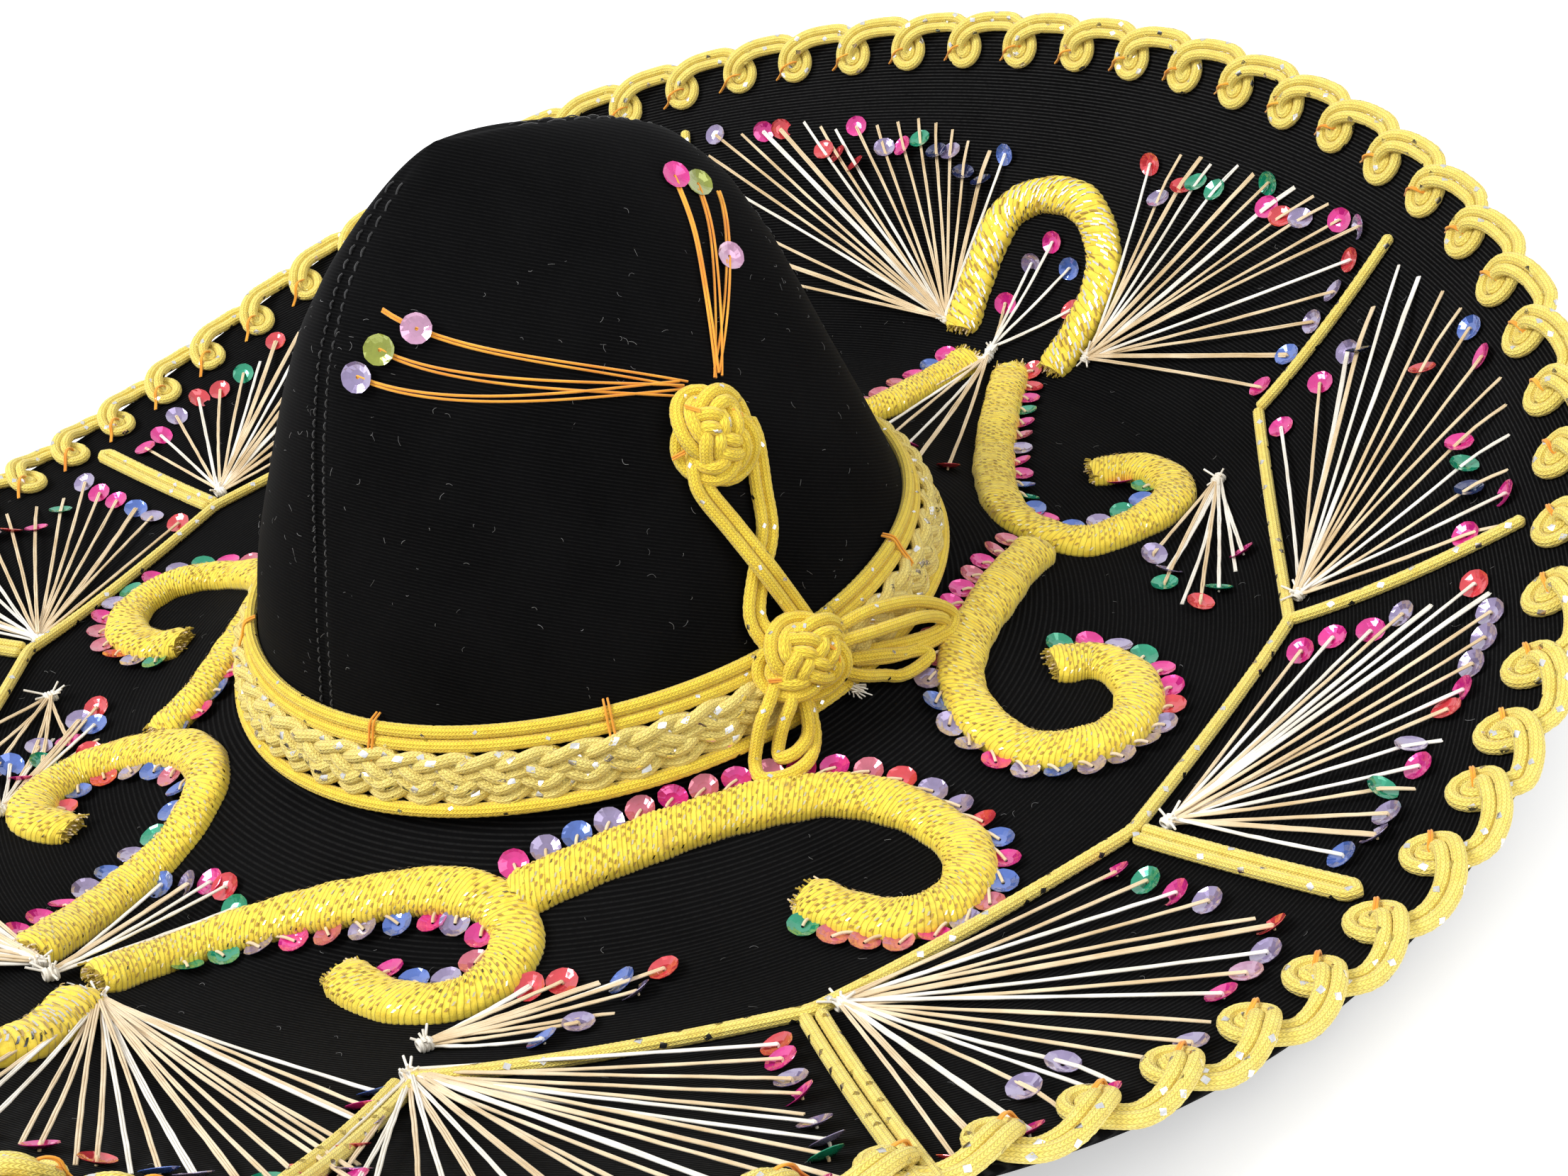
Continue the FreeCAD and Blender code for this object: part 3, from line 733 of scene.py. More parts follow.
# ---------------- knots on the crown
KNOT_OUT = unit(np.array([0.86, -0.3, 0.4]))
KNOT_RIGHT = unit(np.cross([0, 0, 1.0], KNOT_OUT))
KNOT_UP = np.cross(KNOT_OUT, KNOT_RIGHT)
KNOT_FLECK = (1.2, 0.8)
LEG_CORD = 1.6
UPPER = np.array([69.5, -11.0, 93.5])
LOWER = np.array([94.5, -18.0, 38.3])


def knot_point(centre, a, b, c):
    """a to the right, b up and c out from a knot's centre."""
    a, b, c = [np.asarray(v)[..., None] for v in (a, b, c)]
    return centre + KNOT_RIGHT * a + KNOT_UP * b + KNOT_OUT * c


def woven_knot(name, node, centre, wide, tall, deep, turn):
    """A flat knot that weaves over and under itself, domed outwards."""
    t = np.linspace(0, TURN, 420, endpoint=False)
    rho = 0.62 + 0.38 * np.cos(4 * t)
    a = 3 * t + turn
    high = deep * np.sqrt(np.clip(1.05 - rho ** 2, 0.02, 1)) + KNOT_CORD * 0.95 * np.sin(8 * t)
    line = closed_steps(knot_point(centre, wide * rho * np.cos(a), tall * rho * np.sin(a), high), FINE_STEP)
    up = unit(line - (centre - KNOT_OUT * 12))
    side = frames(line, up, True)[0]
    knot = Piece()
    for shift in (-KNOT_CORD * 0.98, KNOT_CORD * 0.98):
        braided_cord(knot, line + side * shift, KNOT_CORD, up, True, 14.0, KNOT_FLECK)
    # The hidden heart of the knot keeps it from looking hollow.
    uu, vv = np.meshgrid(np.linspace(0, TURN, 24, endpoint=False), np.linspace(0.05, math.pi - 0.05, 14))
    knot.grid(knot_point(centre, wide * 0.7 * np.sin(vv) * np.cos(uu), tall * 0.7 * np.sin(vv) * np.sin(uu),
                         deep * 0.75 * np.cos(vv)))
    knot.make(name, [KNOT_YELLOW, SILVER], [node], "yellow_cord")


woven_knot("upper_knot_cords", "knot_upper", UPPER, 9.2, 11.2, 5.2, 0.5)
woven_knot("lower_knot_cords", "knot_lower", LOWER, 11.6, 9.2, 6.0, 0.2)

# Two doubled cords from the upper knot to the lower: points, and their heights off the velvet.
LEGS = [
    ("knot_leg_over", "knot_leg_front",
     [(70, -16, 93), (72, -19.5, 87), (74, -21, 82), (80, -19, 72), (86, -17, 60), (88, -12.6, 48.6),
      (90, -11, 42)],
     [3, 3, 2.4, 2.8, 5.0, 3.4, 4]),
    ("knot_leg_under", "knot_leg_back",
     [(72, 1, 91), (73, 0, 86), (78, -5.2, 76.6), (81.7, -9.6, 67), (84.2, -18.2, 58.5), (86.8, -24, 50.4),
      (90, -24, 43)],
     [3, 2.6, 2.0, 1.7, 1.7, 2.4, 5]),
]
for name, node, points, lift in LEGS:
    line = smooth_path(push_to_crown(points, lift), FINE_STEP)
    side = frames(line, crown_up(line))[0]
    leg = Piece()
    for shift in (-LEG_CORD, LEG_CORD):
        strand = even_steps(relax(line + side * shift, 3), FINE_STEP)
        braided_cord(leg, strand, LEG_CORD, fleck_gap=11.0, fleck=KNOT_FLECK)
    leg.make(name, [KNOT_YELLOW, SILVER], [node], "yellow_cord")

SIDE_BOWS = [
    [(94, -12, 39), (97.3, -7.2, 41.2), (98.8, 1.9, 41.1), (99.4, 11.9, 38.2), (100, 22.7, 33.4),
     (99.6, 33, 26), (100, 37.6, 20.4), (102.4, 32.9, 18.9), (102, 26.8, 19.4), (101, 16, 21.5),
     (100.4, 4.9, 27), (97, -4, 30)],
    [(95, -12, 36), (100.6, -7.8, 39), (102.4, -0.2, 37.4), (103, 9.8, 34.4), (102.8, 19.7, 30.8),
     (101.4, 28.5, 25.6), (101, 32.5, 21.4), (100.6, 28.1, 20.4), (99.6, 18.4, 23), (97, 6, 27),
     (95, -4, 30)],
    [(94, -10, 30), (100.3, -3.5, 25.6), (101.2, 4.7, 20.9), (103.2, 8.6, 19), (104.4, 14.2, 18.4),
     (104.6, 20.2, 18.9), (101.6, 18.6, 20.4), (100.3, 8.1, 24.3), (97, -2.6, 28.8)],
]
HANGING_BOWS = [
    [(94, -27, 38), (95.4, -33.1, 34.1), (95, -36.9, 30), (94, -38.8, 24), (94, -40.6, 19.4),
     (97.4, -43, 17.8), (101, -41.2, 17.6), (103.6, -36.8, 17.5), (104.4, -31.5, 18.4), (101.6, -25.4, 20),
     (99, -22.6, 25), (96, -21, 32)],
    [(95, -24, 37), (98.6, -28.6, 32.5), (98.2, -32, 28.3), (97.4, -34, 23.4), (97.6, -35.4, 20.4),
     (99.4, -35.8, 19.8), (101.6, -32.6, 20.6), (101.6, -28, 22.4), (100.4, -25.6, 26.6), (97, -23, 33)],
]
for label, bows in (("side", SIDE_BOWS), ("hanging", HANGING_BOWS)):
    bow = Piece()
    for points in bows:
        braided_cord(bow, smooth_path(points, FINE_STEP), 1.75, fleck_gap=12.0, fleck=KNOT_FLECK)
    bow.make(f"knot_{label}_bows", [KNOT_YELLOW, SILVER], ["knot_loop_" + label], "yellow_cord")

# A cut cord end below the lower knot, and the stitches that hold both knots.
tail = Piece()
root, tip = np.array([95.0, -9.0, 28.0]), np.array([98.4, -5.2, 22.6])
braided_cord(tail, np.linspace(root, tip, 12), 1.7, fleck_gap=30.0)
for _ in range(46):
    start = tip + rng.normal(0, 0.7, 3)
    end = start + unit(tip - root) * rng.uniform(1.5, 3.6) + rng.normal(0, 0.8, 3)
    thread(tail, np.linspace(start, end, 4), 0.2, sides=5, mat=2)
tail.make("knot_cut_end", [KNOT_YELLOW, SILVER, WHITE], (), "yellow_cord")

KNOT_STITCHES = [
    (UPPER, [(-9.6, -1, 3.4), (-12.6, -1.6, 1.2)]),
    (UPPER, [(-6, 9.6, 4.6), (-3.4, 7.4, 6.6)]),
    (UPPER, [(5, 4.4, 6.6), (7.4, 2.4, 5.6)]),
    (LOWER, [(4.2, 2.4, 8.2), (6.4, -1.4, 8.2), (5.4, -6.2, 6.4)]),
    (LOWER, [(-12.4, -1.2, 4), (-9.6, -2, 5.6)]),
    (LOWER, [(6, 8.4, 4.4), (8.6, 7.4, 3.4)]),
]
knot_ties = Piece()
for centre, marks in KNOT_STITCHES:
    line = smooth_path(knot_point(centre, *np.array(marks).T), 0.7)
    for shift in (-0.3, 0.3):
        thread(knot_ties, line + KNOT_UP * shift, 0.3)
knot_ties.make("knot_stitches", [ORANGE], (), "orange_thread")


# ---------------- sequins
def add_sequin(piece, centre, up, turn, mat):
    """A small cupped sequin with six flats round its hole and a finely notched edge."""
    side = unit(np.cross(up, [0.3, 0.5, 0.81]))
    ahead = np.cross(up, side)
    cup, m = 0.95, 18
    k = np.arange(m)
    a = k * TURN / m + turn
    six = np.cos(((a - turn + math.pi / 6) % (math.pi / 3)) - math.pi / 6)
    rings = [(0.45 + 0 * a, 0.0), (1.9 / six * 0.94, 0.12), (SEQUIN * 0.78 / six ** 0.5, cup * 0.62),
             (SEQUIN * (1 - 0.025 * (k % 2)), cup)]
    layers = [centre + side * (r * np.cos(a))[:, None] + ahead * (r * np.sin(a))[:, None] + up * (h + thick)
              for thick in (0.0, -0.14) for r, h in rings]
    strip = grid_faces(4, m, False, True)
    n = (k + 1) % m
    outer = np.stack([3 * m + k, 3 * m + n, 7 * m + n, 7 * m + k], -1)
    inner = np.stack([n, k, 4 * m + k, 4 * m + n], -1)
    piece.add(np.vstack(layers), np.vstack([strip, (strip + 4 * m)[:, ::-1], outer, inner]), mat)


# ---------------- embroidery layout, seen from above
CORNERS = [(119, 174), (175, 88), (183, -6), (157, -98), (100, -166)]
RIM_ENDS = [(144, 212), (227, 117), (241, -8), (229, -146), (132, -214)]
HAIRPIN_BACK = [(-13, 199), (-14, 214), (-11, 229), (2, 235), (19, 234), (32, 225), (36, 213), (30, 191)]
HAIRPIN_FRONT = [(9, -189), (22, -206), (26, -219), (18, -231), (2, -236), (-14, -231), (-22, -219),
                 (-18, -200)]
STEM_BACK = [(14, 190), (29, 161), (50, 127), (71, 104), (87, 100), (98, 104), (105, 115), (109, 130),
             (107, 142), (97, 149), (86, 148), (78, 140)]
STEM_BACK_LEFT = [(-4, 192), (-8, 170), (-13, 147), (-30, 125), (-56, 111), (-81, 103), (-97, 104),
                  (-105, 115), (-109, 130), (-107, 142), (-97, 149), (-86, 148), (-78, 140)]
SIDE_BACK = [(91, 91), (94, 74), (99, 56), (106, 33), (115, 19), (127, 11.5), (139, 10.3), (148.5, 14.3),
             (155.5, 22), (158, 33), (154, 44.3), (145, 52), (134, 52.5), (127, 43.4)]
SIDE_FRONT = [(68, -104), (76, -90), (84, -76), (94, -59), (105, -43), (116, -32), (131, -26), (147, -28),
              (156, -36), (159, -47), (154, -58), (142, -63), (127, -64)]
SIDE_FRONT_LEFT = [(-80, -104), (-80, -91), (-85, -76), (-94, -59), (-104, -44), (-115, -34), (-130, -31),
                   (-145, -36), (-154, -48), (-152, -63), (-142, -72), (-129, -73), (-117, -68)]
STEM_FRONT = [(2, -182), (2, -167), (6, -151), (16, -138), (32, -125), (47, -114), (62, -108), (74, -110),
              (80, -119), (80, -131), (73, -140), (61, -144), (46, -143)]
STEM_FRONT_LEFT = [(-19, -186), (-27, -167), (-33, -147), (-35, -129), (-41, -115), (-52, -108),
                   (-67, -107), (-83, -113), (-91, -126), (-88, -140), (-79, -148), (-67, -144)]


def flip(points):
    return [(-x, y) for x, y in points]


# ---------------- wrapped scrolls
def wrapped_cord(node, points):
    """A soft core wrapped with yarn: a low rounded ridge of fine turns with brown and bright dashes."""
    coarse = node.startswith("hairpin")
    pitch, depth, lattice, long, thin = (2.2, 0.55, 2.6, 2.4, 0.6) if coarse else (1.3, 0.34, 2.0, 1.05, 0.5)
    step, half_wide, tall, slant = 0.27, 6.6, 5.2, 0.32
    line = on_brim(smooth_path(points, step))
    side, rise = frames(line, brim_up(line))
    n = len(line)
    s = np.arange(n) * step
    a = np.linspace(-0.1, math.pi + 0.1, 25)
    across, over = np.cos(a), np.clip(np.sin(a), 0, 1)
    dome = over ** 0.62 - 0.05 * (np.sin(a) < 0)
    near_end = np.clip(np.minimum(s, s[-1] - s) / 3.0, 0, 1)
    grow = 1 + 0.025 * np.sin(s * 0.21 + len(points)) + 0.02 * np.sin(s * 0.53)
    grow = grow * (0.82 + 0.18 * near_end)
    wander = np.cumsum(rng.normal(0, 0.035, n))
    turns = (s[:, None] + slant * half_wide * across[None, :]) / pitch + wander[:, None]
    ridge = depth * (np.abs(np.sin(math.pi * turns)) ** 0.7 - 0.8)
    ridge = ridge + 0.12 * np.sin(2.3 * turns) * np.sin(1.7 * turns + 3 * across[None, :])
    wide = (half_wide * grow)[:, None] * across[None, :] + ridge * across
    high = (tall * grow)[:, None] * dome[None, :] + ridge * over + 0.1
    verts = line[:, None, :] + side[:, None, :] * wide[..., None] + rise[:, None, :] * high[..., None]
    wrap = Piece()
    wrap.grid(verts, weave=np.stack([turns, 0 * turns, 0 * turns], -1))
    wrap.cap(verts[0], True)
    wrap.cap(verts[-1], False)
    # Short brown and bright dashes lying across the turns, on a slanting lattice.
    three, two = np.array([-1.0, 0.0, 1.0])[:, None], np.array([[-1.0, 1.0]])
    for number, place in enumerate(np.arange(2.0, s[-1] - 2.0, lattice * 0.62)):
        for lane in np.arange(0.1 + (number % 2) * 0.075, 0.92, 0.15):
            if rng.random() < 0.22:
                continue
            middle = math.pi * lane + rng.normal(0, 0.03)
            where = place - slant * half_wide * math.cos(middle) + rng.normal(0, 0.2)
            where = np.clip(where + three * long * 0.3 + two * thin / 2, 0, s[-1])
            b = middle + three * long / 2 / (0.75 * half_wide) * 0.8 + 0 * where
            spot = [at(s[-1], table, where) for table in (line, side, rise)]
            high = tall * (np.clip(np.sin(b), 0, 1) ** 0.62) + slant
            dash = spot[0] + spot[1] * ((half_wide + 0.2) * np.cos(b))[..., None] + spot[2] * high[..., None]
            bright = rng.random() < (0.75 if coarse else 0.4)
            wrap.grid(dash, 1 if bright else 3, wrap=(False, False))
    # Frayed yarn at the cut ends.
    for row, sign in ((0, -1), (n - 1, 1)):
        ahead = unit(line[min(row + 3, n - 1)] - line[max(row - 3, 0)]) * sign
        for _ in range(60):
            off = side[row] * rng.uniform(-5.4, 5.4) + rise[row] * rng.uniform(0.4, 4.2)
            start = line[row] + off * 0.95 - ahead * 1.2
            tip = start + ahead * rng.uniform(1.2, 2.8) + rng.normal(0, 0.5, 3)
            thread(wrap, np.linspace(start, tip, 4), 0.24, sides=5, mat=int(rng.choice([0, 0, 0, 2])))
    wrap.make(node + "_wrap", [WRAP, SILVER if coarse else GOLD, CREAM, BROWN], [node], "yellow_wrap")


SCROLLS = {
    "hairpin_back": HAIRPIN_BACK, "hairpin_front": HAIRPIN_FRONT,
    "scroll_back_right": STEM_BACK, "scroll_back_left": STEM_BACK_LEFT,
    "scroll_side_back_right": SIDE_BACK, "scroll_side_back_left": flip(SIDE_BACK),
    "scroll_side_front_right": SIDE_FRONT, "scroll_side_front_left": SIDE_FRONT_LEFT,
    "scroll_front_right": STEM_FRONT, "scroll_front_left": STEM_FRONT_LEFT,
}
for node, points in SCROLLS.items():
    wrapped_cord(node, points)


# ---------------- couched cords
def couch(cord, flat, radius=CORD):
    line = even_steps(on_brim(flat, radius), FINE_STEP)
    braided_cord(cord, line, radius, brim_up(line))


for label, sign in (("right", 1), ("left", -1)):
    corners, ends = np.array(CORNERS, float) * [sign, 1], np.array(RIM_ENDS, float) * [sign, 1]
    cord = Piece()
    couch(cord, even_steps(corners, 3.0))
    cord.make(f"zigzag_cord_{label}_braid", [YELLOW, SILVER], [f"zigzag_cord_{label}"], "yellow_cord")
    cord = Piece()
    for k, (a, b) in enumerate(zip(corners, ends)):
        if k in (0, 1):
            couch(cord, even_steps([a, b], 3.0))
            continue
        # A doubled cord that turns back on itself at the rim end.
        d = unit(b - a)
        apart = np.array([-d[1], d[0]]) * 1.9
        near = a + d * 1.6
        flat = [even_steps([near + apart, b + apart], 3.0), (b + d * 1.8)[None, :],
                even_steps([b - apart, near - apart], 3.0)]
        couch(cord, np.vstack(flat), CORD - 0.1)
    cord.make(f"radial_cords_{label}_braid", [YELLOW, SILVER], [f"radial_cords_{label}"], "yellow_cord")

# ---------------- thread fans
# Knot of the fan, the line that its thread ends follow, and one letter for each thread: the colour of its
# sequin, a capital where the sequin sits at the very end, or a point where the thread has none.
HUES = "prgblsnwy"
FANS = {
    "back": [
        ((-20, 201), [(-17, 244), (-58, 242), (-105, 229), (-135, 214), (-119, 183)],
         "BnnlngplPrrrRP.L.BSPL"),
        ((42, 196), [(42, 242), (74, 240), (105, 230), (134, 214), (130, 203), (115, 181)],
         "Rlrgg.GprlPLRLLBP"),
    ],
    "side": [
        ((172, 99), [(131, 167), (143, 188), (145, 200), (151, 205), (181, 181), (206, 155),
                     (216, 129), (224, 117)],
         "PPLn...rBP.pgnPp"),
        ((189, 1), [(184, 76), (200, 84), (208, 91), (226, 100), (234, 78), (235, 52), (239, 30), (234, 2)],
         "PPPL.R.LLLPRlPgLLB"),
        ((161, -92), [(187, -20), (206, -22), (232, -23), (236, -49), (236, -74), (231, -106), (225, -134)],
         "PGPL.RLWP.LPlPlPGR"),
        ((98, -164), [(159, -112), (180, -127), (214, -153), (200, -178), (176, -198), (150, -212),
                      (128, -209)],
         "RPLP.LLG.P.R.LPB.L.GR.P"),
    ],
    "front": [((13, -187), [(99, -175), (118, -190), (138, -206), (112, -226), (76, -238), (40, -243)],
               "BP.LR.LP.G.LB.R.P.LG.PL")],
    "small": [
        ((118, 150), [(119, 108), (131, 96), (142, 87), (145, 100), (145, 120)], "LLG.RG.P"),
        ((88, -152), [(90, -124), (99, -113), (116, -102), (112, -124), (108, -135)], "RR.BRL.LB"),
    ],
}
LEFT_CODES = ["PR.LBGn.P.rL.BPG", "L.P..LB.R.GRRLPP", "RLBPPLgprlP.LGRLPB", "PRL.GPLBR.LP.GRPLB"]
CENTRE_FANS = [
    ((3, 195), [(1, 209), (4, 221), (12, 226), (22, 218), (27, 209)], "PLPBR"),
    ((3, 192), [(-16, 148), (-4, 138), (11, 126), (29, 116), (40, 116)], "P.L.P.R"),
    ((-6, -188), [(-24, -143), (-17, -139), (-4, -137), (0, -140)], "BLPRG"),
]
CORNER_FAN = [((-131, -108), [(-124, -140), (-110, -146), (-97, -143), (-101, -130), (-108, -119)], "LGLPGP")]


def mirrored(fans, codes=None):
    codes = codes or [c for _, _, c in fans]
    return [((-k[0], k[1]), flip(line), code) for (k, line, _), code in zip(fans, codes)]


def ray(threads, near, far, share, lifted):
    """Two or three strands from a fan's knot, raised to the sequin's hole at a share of their length."""
    up = brim_up(near + (far - near) * share)
    side = unit(np.cross(unit(far - near), up))
    lift = 1.5 if lifted else 0.3
    bow = rng.normal(0, 0.5)
    t = np.linspace(0, 1, 16)[:, None]
    hue = int(rng.random() < 0.42)
    strands = 2 if rng.random() < 0.8 else 3
    before = np.clip(t / share, 0, 1) ** 2 * lift * (t <= share)
    rise = before + lift * np.clip((1 - t) / 0.12, 0, 1) * (t > share)
    for k in range(strands):
        shift = (k - (strands - 1) / 2) * 0.54
        route = near + (far - near) * t + side * (shift + bow * np.sin(math.pi * t)) + up * rise
        thread(threads, route + rng.normal(0, 0.04, route.shape), 0.3, up, mat=hue)
    return hue


def fan(threads, sequins, heads, spec):
    knot, ends, codes = spec
    tips = even_steps(ends, 0.5)
    tips = tips[np.linspace(0, len(tips) - 1, len(codes)).astype(int)]
    start = on_brim(knot, 2.0)
    for tip, code in zip(tips, codes):
        far = on_brim(tip + rng.normal(0, 1.0, 2))
        near = start + rng.normal(0, 0.5, 3)
        share = 1.0 if code.isupper() else rng.uniform(0.76, 0.9)
        hue = ray(threads, near, far, share, code != ".")
        if code == ".":
            continue
        hole = near + (far - near) * share
        up = brim_up(hole)
        ahead = unit(far - near)
        lean = rng.normal(-0.3 if code.isupper() else 0.5, 0.22)
        tilt = unit(up + ahead * lean + unit(np.cross(ahead, up)) * rng.normal(0, 0.22))
        add_sequin(sequins, hole + up * 0.9, tilt, rng.uniform(0, 1), HUES.index(code.lower()))
        if code.isupper():
            pin = np.array([hole + up * 1.6 - ahead * 0.8, hole + up * 1.6, hole + up * 0.2 + ahead * 0.2])
            thread(threads, smooth_path(pin, 0.5), 0.36, mat=hue)
    # The knot where the threads meet: a few tight turns and loose tails.
    up = brim_up(start)
    side = unit(np.cross(up, [0.2, 0.9, 0.1]))
    ahead = np.cross(up, side)
    for k in range(7):
        a = np.linspace(0, TURN, 14) + k
        r = 1.3 + 0.3 * (k % 2)
        loop = start + side * (r * np.cos(a))[:, None] + up * (r * 0.9 * np.sin(a) - 0.4)[:, None]
        thread(heads, loop + ahead * ((k - 3) * 0.5 + 0.25 * np.sin(a))[:, None], 0.4)
    for _ in range(6):
        tip = start + side * rng.normal(0, 2.6) + ahead * rng.normal(0, 2.6) + up * rng.uniform(0.5, 3.0)
        thread(heads, np.linspace(start, tip, 5), 0.33)


heads = Piece()
groups = {
    "back": FANS["back"], "right": FANS["side"], "left": mirrored(FANS["side"], LEFT_CODES),
    "front": FANS["front"] + mirrored(FANS["front"]),
    "small": FANS["small"] + mirrored(FANS["small"]) + CORNER_FAN, "centre": CENTRE_FANS,
}
for label, fans in groups.items():
    threads, sequins = Piece(), Piece()
    for spec in fans:
        fan(threads, sequins, heads, spec)
    threads.make(f"fan_threads_{label}_doubled", [CREAM, WHITE], [f"fan_threads_{label}"], "cream_thread")
    sequins.make(f"fan_sequins_{label}_cupped", SEQUINS, [f"fan_sequins_{label}"], "sequins", False)
heads.make("fan_head_knots", [WHITE], ["fan_heads"], "cream_thread")

# ---------------- sequin rows beside the scrolls
ROW_HUES = [0, 5, 1, 4, 2, 3, 0, 5]
# For each row: its scroll, how far to the side, and the shares of the scroll where it starts and stops.
ROWS = {
    "right": [(STEM_BACK, -8.4, 0.02, 0.5), (STEM_BACK, -8.4, 0.55, 0.97), (SIDE_BACK, 8.6, 0.02, 0.97),
              (SIDE_FRONT, -8.6, 0.02, 0.97), (STEM_FRONT, 8.6, 0.12, 0.52), (STEM_FRONT, 8.2, 0.55, 0.95)],
    "left": [(flip(SIDE_BACK), -8.6, 0.02, 0.97), (SIDE_FRONT_LEFT, 8.6, 0.02, 0.97),
             (STEM_FRONT_LEFT, -8.6, 0.05, 0.9), (STEM_BACK_LEFT, 8.6, 0.02, 0.5)],
}


def sequin_row(sequins, stitches, points, across, start, stop):
    line = smooth_path(points, 1.0)
    d = unit(np.gradient(line, axis=0))
    side = np.stack([d[:, 1], -d[:, 0]], -1)
    first, last = int(start * len(line)), int(stop * len(line))
    row = even_steps((line + side * across)[first:last], 8.4)
    inner = even_steps((line + side * (across * 0.55))[first:last], 8.4 * 0.9)
    inner = inner[np.linspace(0, len(inner) - 1, len(row)).astype(int)]
    for xy, root in zip(row, inner):
        q = on_brim(xy, 1.1)
        up = brim_up(q)
        away = unit(q - on_brim(root, 0.9))
        tilt = unit(up + away * rng.uniform(-0.35, 0.1) + rng.normal(0, 0.08, 3))
        hue = int(rng.choice(ROW_HUES))
        add_sequin(sequins, q, tilt, rng.uniform(0, 1), hue)
        bridge = np.array([q + up * 0.2, q * 0.62 + on_brim(root, 1.6) * 0.38 + up * 0.7, on_brim(root, 1.0)])
        thread(stitches, smooth_path(bridge, 0.9), 0.42)


row_stitches = Piece()
for label, rows in ROWS.items():
    sequins = Piece()
    for row in rows:
        sequin_row(sequins, row_stitches, *row)
    sequins.make(f"row_sequins_{label}_cupped", SEQUINS, [f"row_sequins_{label}"], "sequins", False)
row_stitches.make("row_sequin_stitches", [CREAM], (), "cream_thread")

# ---------------- threads and sequins on the crown
# From each root by the upper knot: the tip, the sequin's colour, and its share of the way to the tip.
CROWN_FANS = {
    "front": ((60.5, -8.0, 102.5), [
        ((13.5, -61.8, 138.3), 7, 0.86), ((15.4, -67.2, 130.6), 8, 0.99), ((11.6, -73.2, 125.3), 4, 0.99)]),
    "back": ((60.5, 3.0, 102.0), [
        ((25.5, 33.6, 139.1), 0, 0.99), ((27.2, 40.1, 134.6), 8, 0.99), ((28.7, 46.9, 129.9), 7, 0.62)]),
}
crown_sequins = Piece()
t = np.linspace(0, 1, 24)[:, None]
for label, (origin, rays) in CROWN_FANS.items():
    threads = Piece()
    for tip, hue, share in rays:
        for strand in range(2):
            base = origin + rng.normal(0, 0.8, 3)
            route = push_to_crown(base + (tip - base) * t, 0.7 + 0.35 * strand)
            side = unit(np.cross(np.gradient(route, axis=0), crown_up(route)))
            route = route + side * ((strand - 0.5) * 0.6)
            thread(threads, route, 0.36, crown_up(route))
        spot = push_to_crown(origin + (np.array(tip) - origin) * share, 1.3)
        add_sequin(crown_sequins, spot, unit(crown_up(spot) + [0.25, -0.3, 0.1]), 0.3, hue)
    threads.make(f"crown_threads_{label}_laid", [ORANGE], [f"crown_threads_{label}"], "orange_thread")
crown_sequins.make("crown_sequins_cupped", SEQUINS, ["crown_sequins"], "sequins", False)

# ---------------- lint on the velvet
LINT_COUNT = 520
lint = Piece()
t = np.linspace(-1, 1, 7)[:, None]
for _ in range(LINT_COUNT):
    if rng.random() < 0.45:
        q = on_crown(np.float64(rng.uniform(-2.4, 1.2)), np.float64(rng.uniform(45, 140)), 0.25)
        up = crown_up(q)
    else:
        a, r = rng.uniform(0, TURN), rng.uniform(122, 250)
        q = on_brim(polar(r, a), 0.3)
        up = brim_up(q)
    side = unit(np.cross(up, rng.normal(0, 1, 3)))
    other = np.cross(up, side)
    size = rng.uniform(0.3, 1.2)
    curve = q + side * (t * size) + other * (size * rng.uniform(-0.7, 0.7) * t ** 2) + up * 0.2 * (1 - t ** 2)
    thread(lint, curve, 0.04, sides=4)
lint.make("velvet_lint", [LINT], (), "cream_thread")

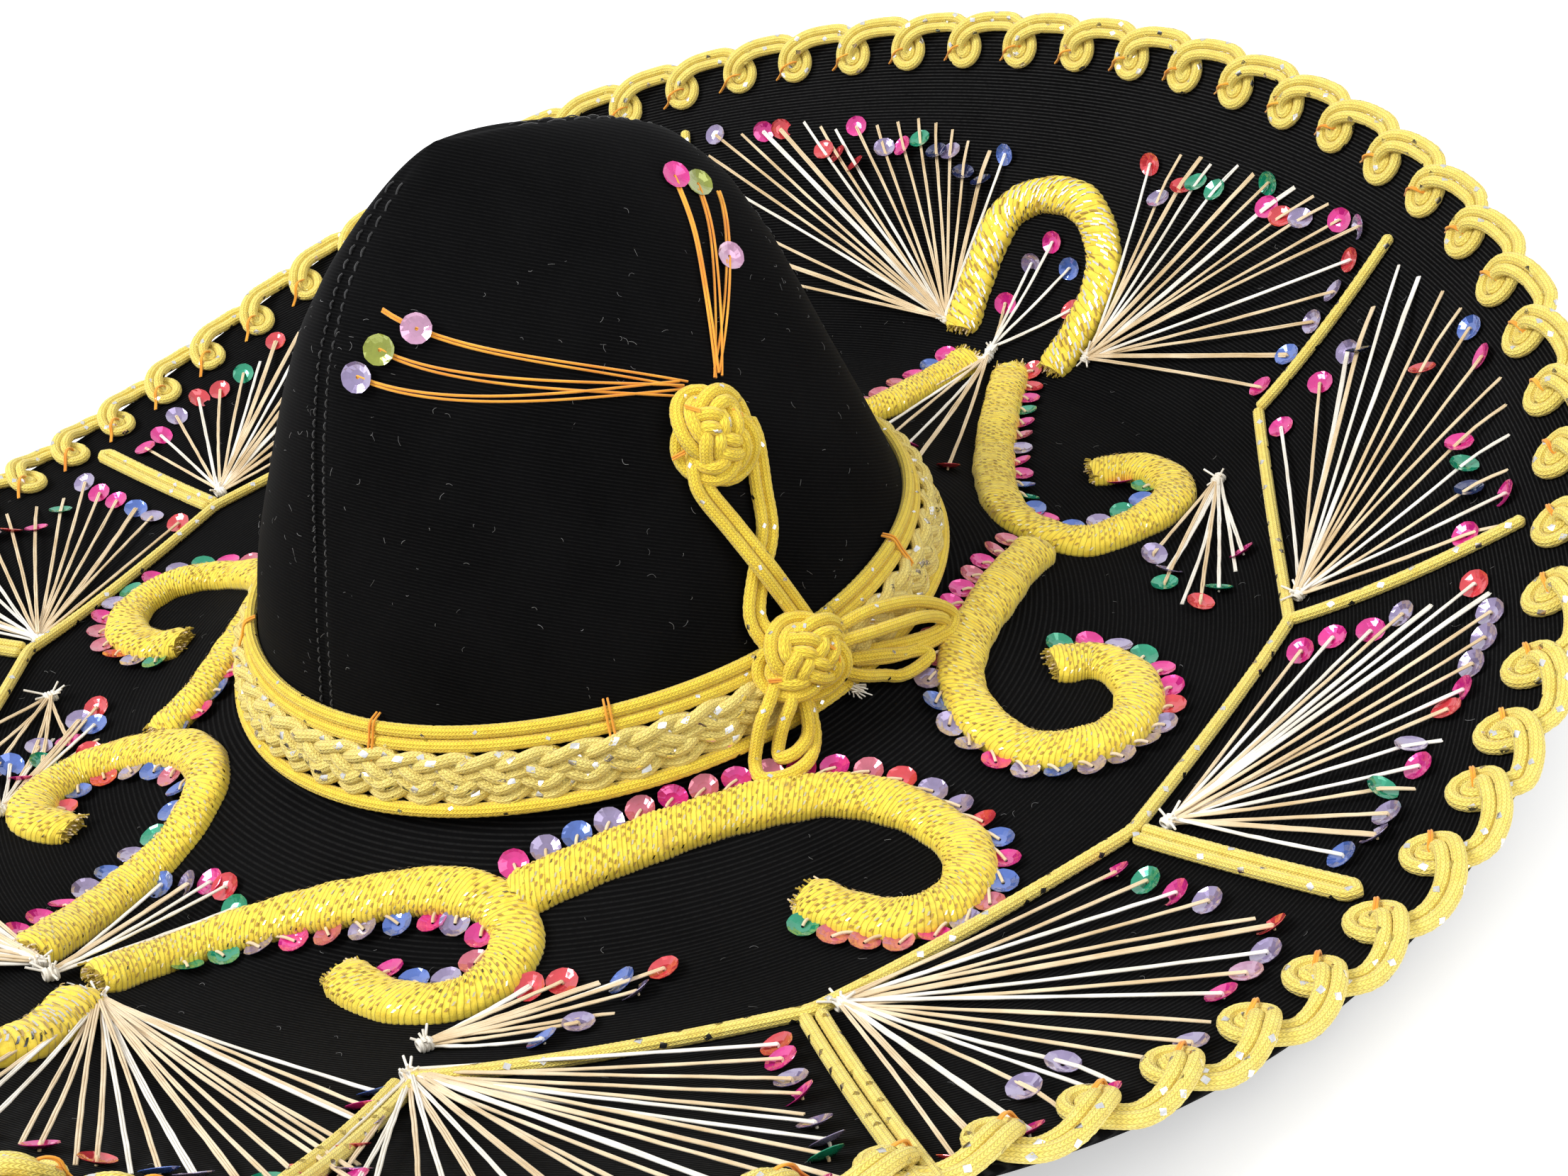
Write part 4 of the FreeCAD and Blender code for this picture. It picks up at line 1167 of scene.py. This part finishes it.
# ---------------- floor, light and camera
scene = bpy.context.scene
paper = Look("paper")
tone = paper.ramp(paper.noise(3.0), 0.2, 0.8, (0.86, 0.86, 0.86), (0.9, 0.9, 0.9))
paper.finish({"Base Color": tone, "Roughness": 0.9, "Emission Color": (1, 1, 1, 1), "Emission Strength": 0.4})
floor_mesh = bpy.data.meshes.new("floor")
floor_mesh.from_pydata([(-6, -6, 0), (6, -6, 0), (6, 6, 0), (-6, 6, 0)], [], [(0, 1, 2, 3)])
floor_mesh.materials.append(paper.material)
floor = bpy.data.objects.new("floor", floor_mesh)
scene.collection.objects.link(floor)

world = bpy.data.worlds.new("studio")
scene.world = world
world.use_nodes = True
sky = world.node_tree.nodes["Background"].inputs
sky["Color"].default_value = (1.0, 1.0, 1.0, 1)
sky["Strength"].default_value = 0.82
scene.view_settings.view_transform = "Standard"


def area_light(name, place, size, power):
    """A soft square lamp aimed at the foot of the crown. Lengths in metres."""
    data = bpy.data.lights.new(name, "AREA")
    data.size = size
    data.energy = power
    lamp = bpy.data.objects.new(name, data)
    lamp.location = place
    lamp.rotation_euler = (Vector((0, 0, 0.05)) - Vector(place)).to_track_quat("-Z", "Y").to_euler()
    scene.collection.objects.link(lamp)


area_light("key", (-0.55, -1.1, 1.5), 0.8, 31)
area_light("fill", (1.5, 0.4, 1.3), 1.2, 9)

# The camera looks down at the hat's right side from the front, rolled a little. Lengths in metres.
AZIMUTH, ELEVATION, ROLL = math.radians(44.5), math.radians(31.1), math.radians(-9.65)
CAMERA_AT = Vector((0.4147, -0.3460, 0.3360))
level = math.cos(ELEVATION)
back = Vector((math.sin(AZIMUTH) * level, -math.cos(AZIMUTH) * level, math.sin(ELEVATION)))
right = (-back).cross(Vector((0, 0, 1))).normalized()
level_up = right.cross(-back)
tilt_right = right * math.cos(ROLL) + level_up * math.sin(ROLL)
tilt_up = level_up * math.cos(ROLL) - right * math.sin(ROLL)
cam_data = bpy.data.cameras.new("camera")
cam_data.sensor_width = 36.0
cam_data.lens = 49.2
cam_data.clip_start = 0.01
cam = bpy.data.objects.new("camera", cam_data)
cam.matrix_world = Matrix((*zip(tilt_right, tilt_up, back, CAMERA_AT), (0, 0, 0, 1)))
scene.collection.objects.link(cam)
scene.camera = cam
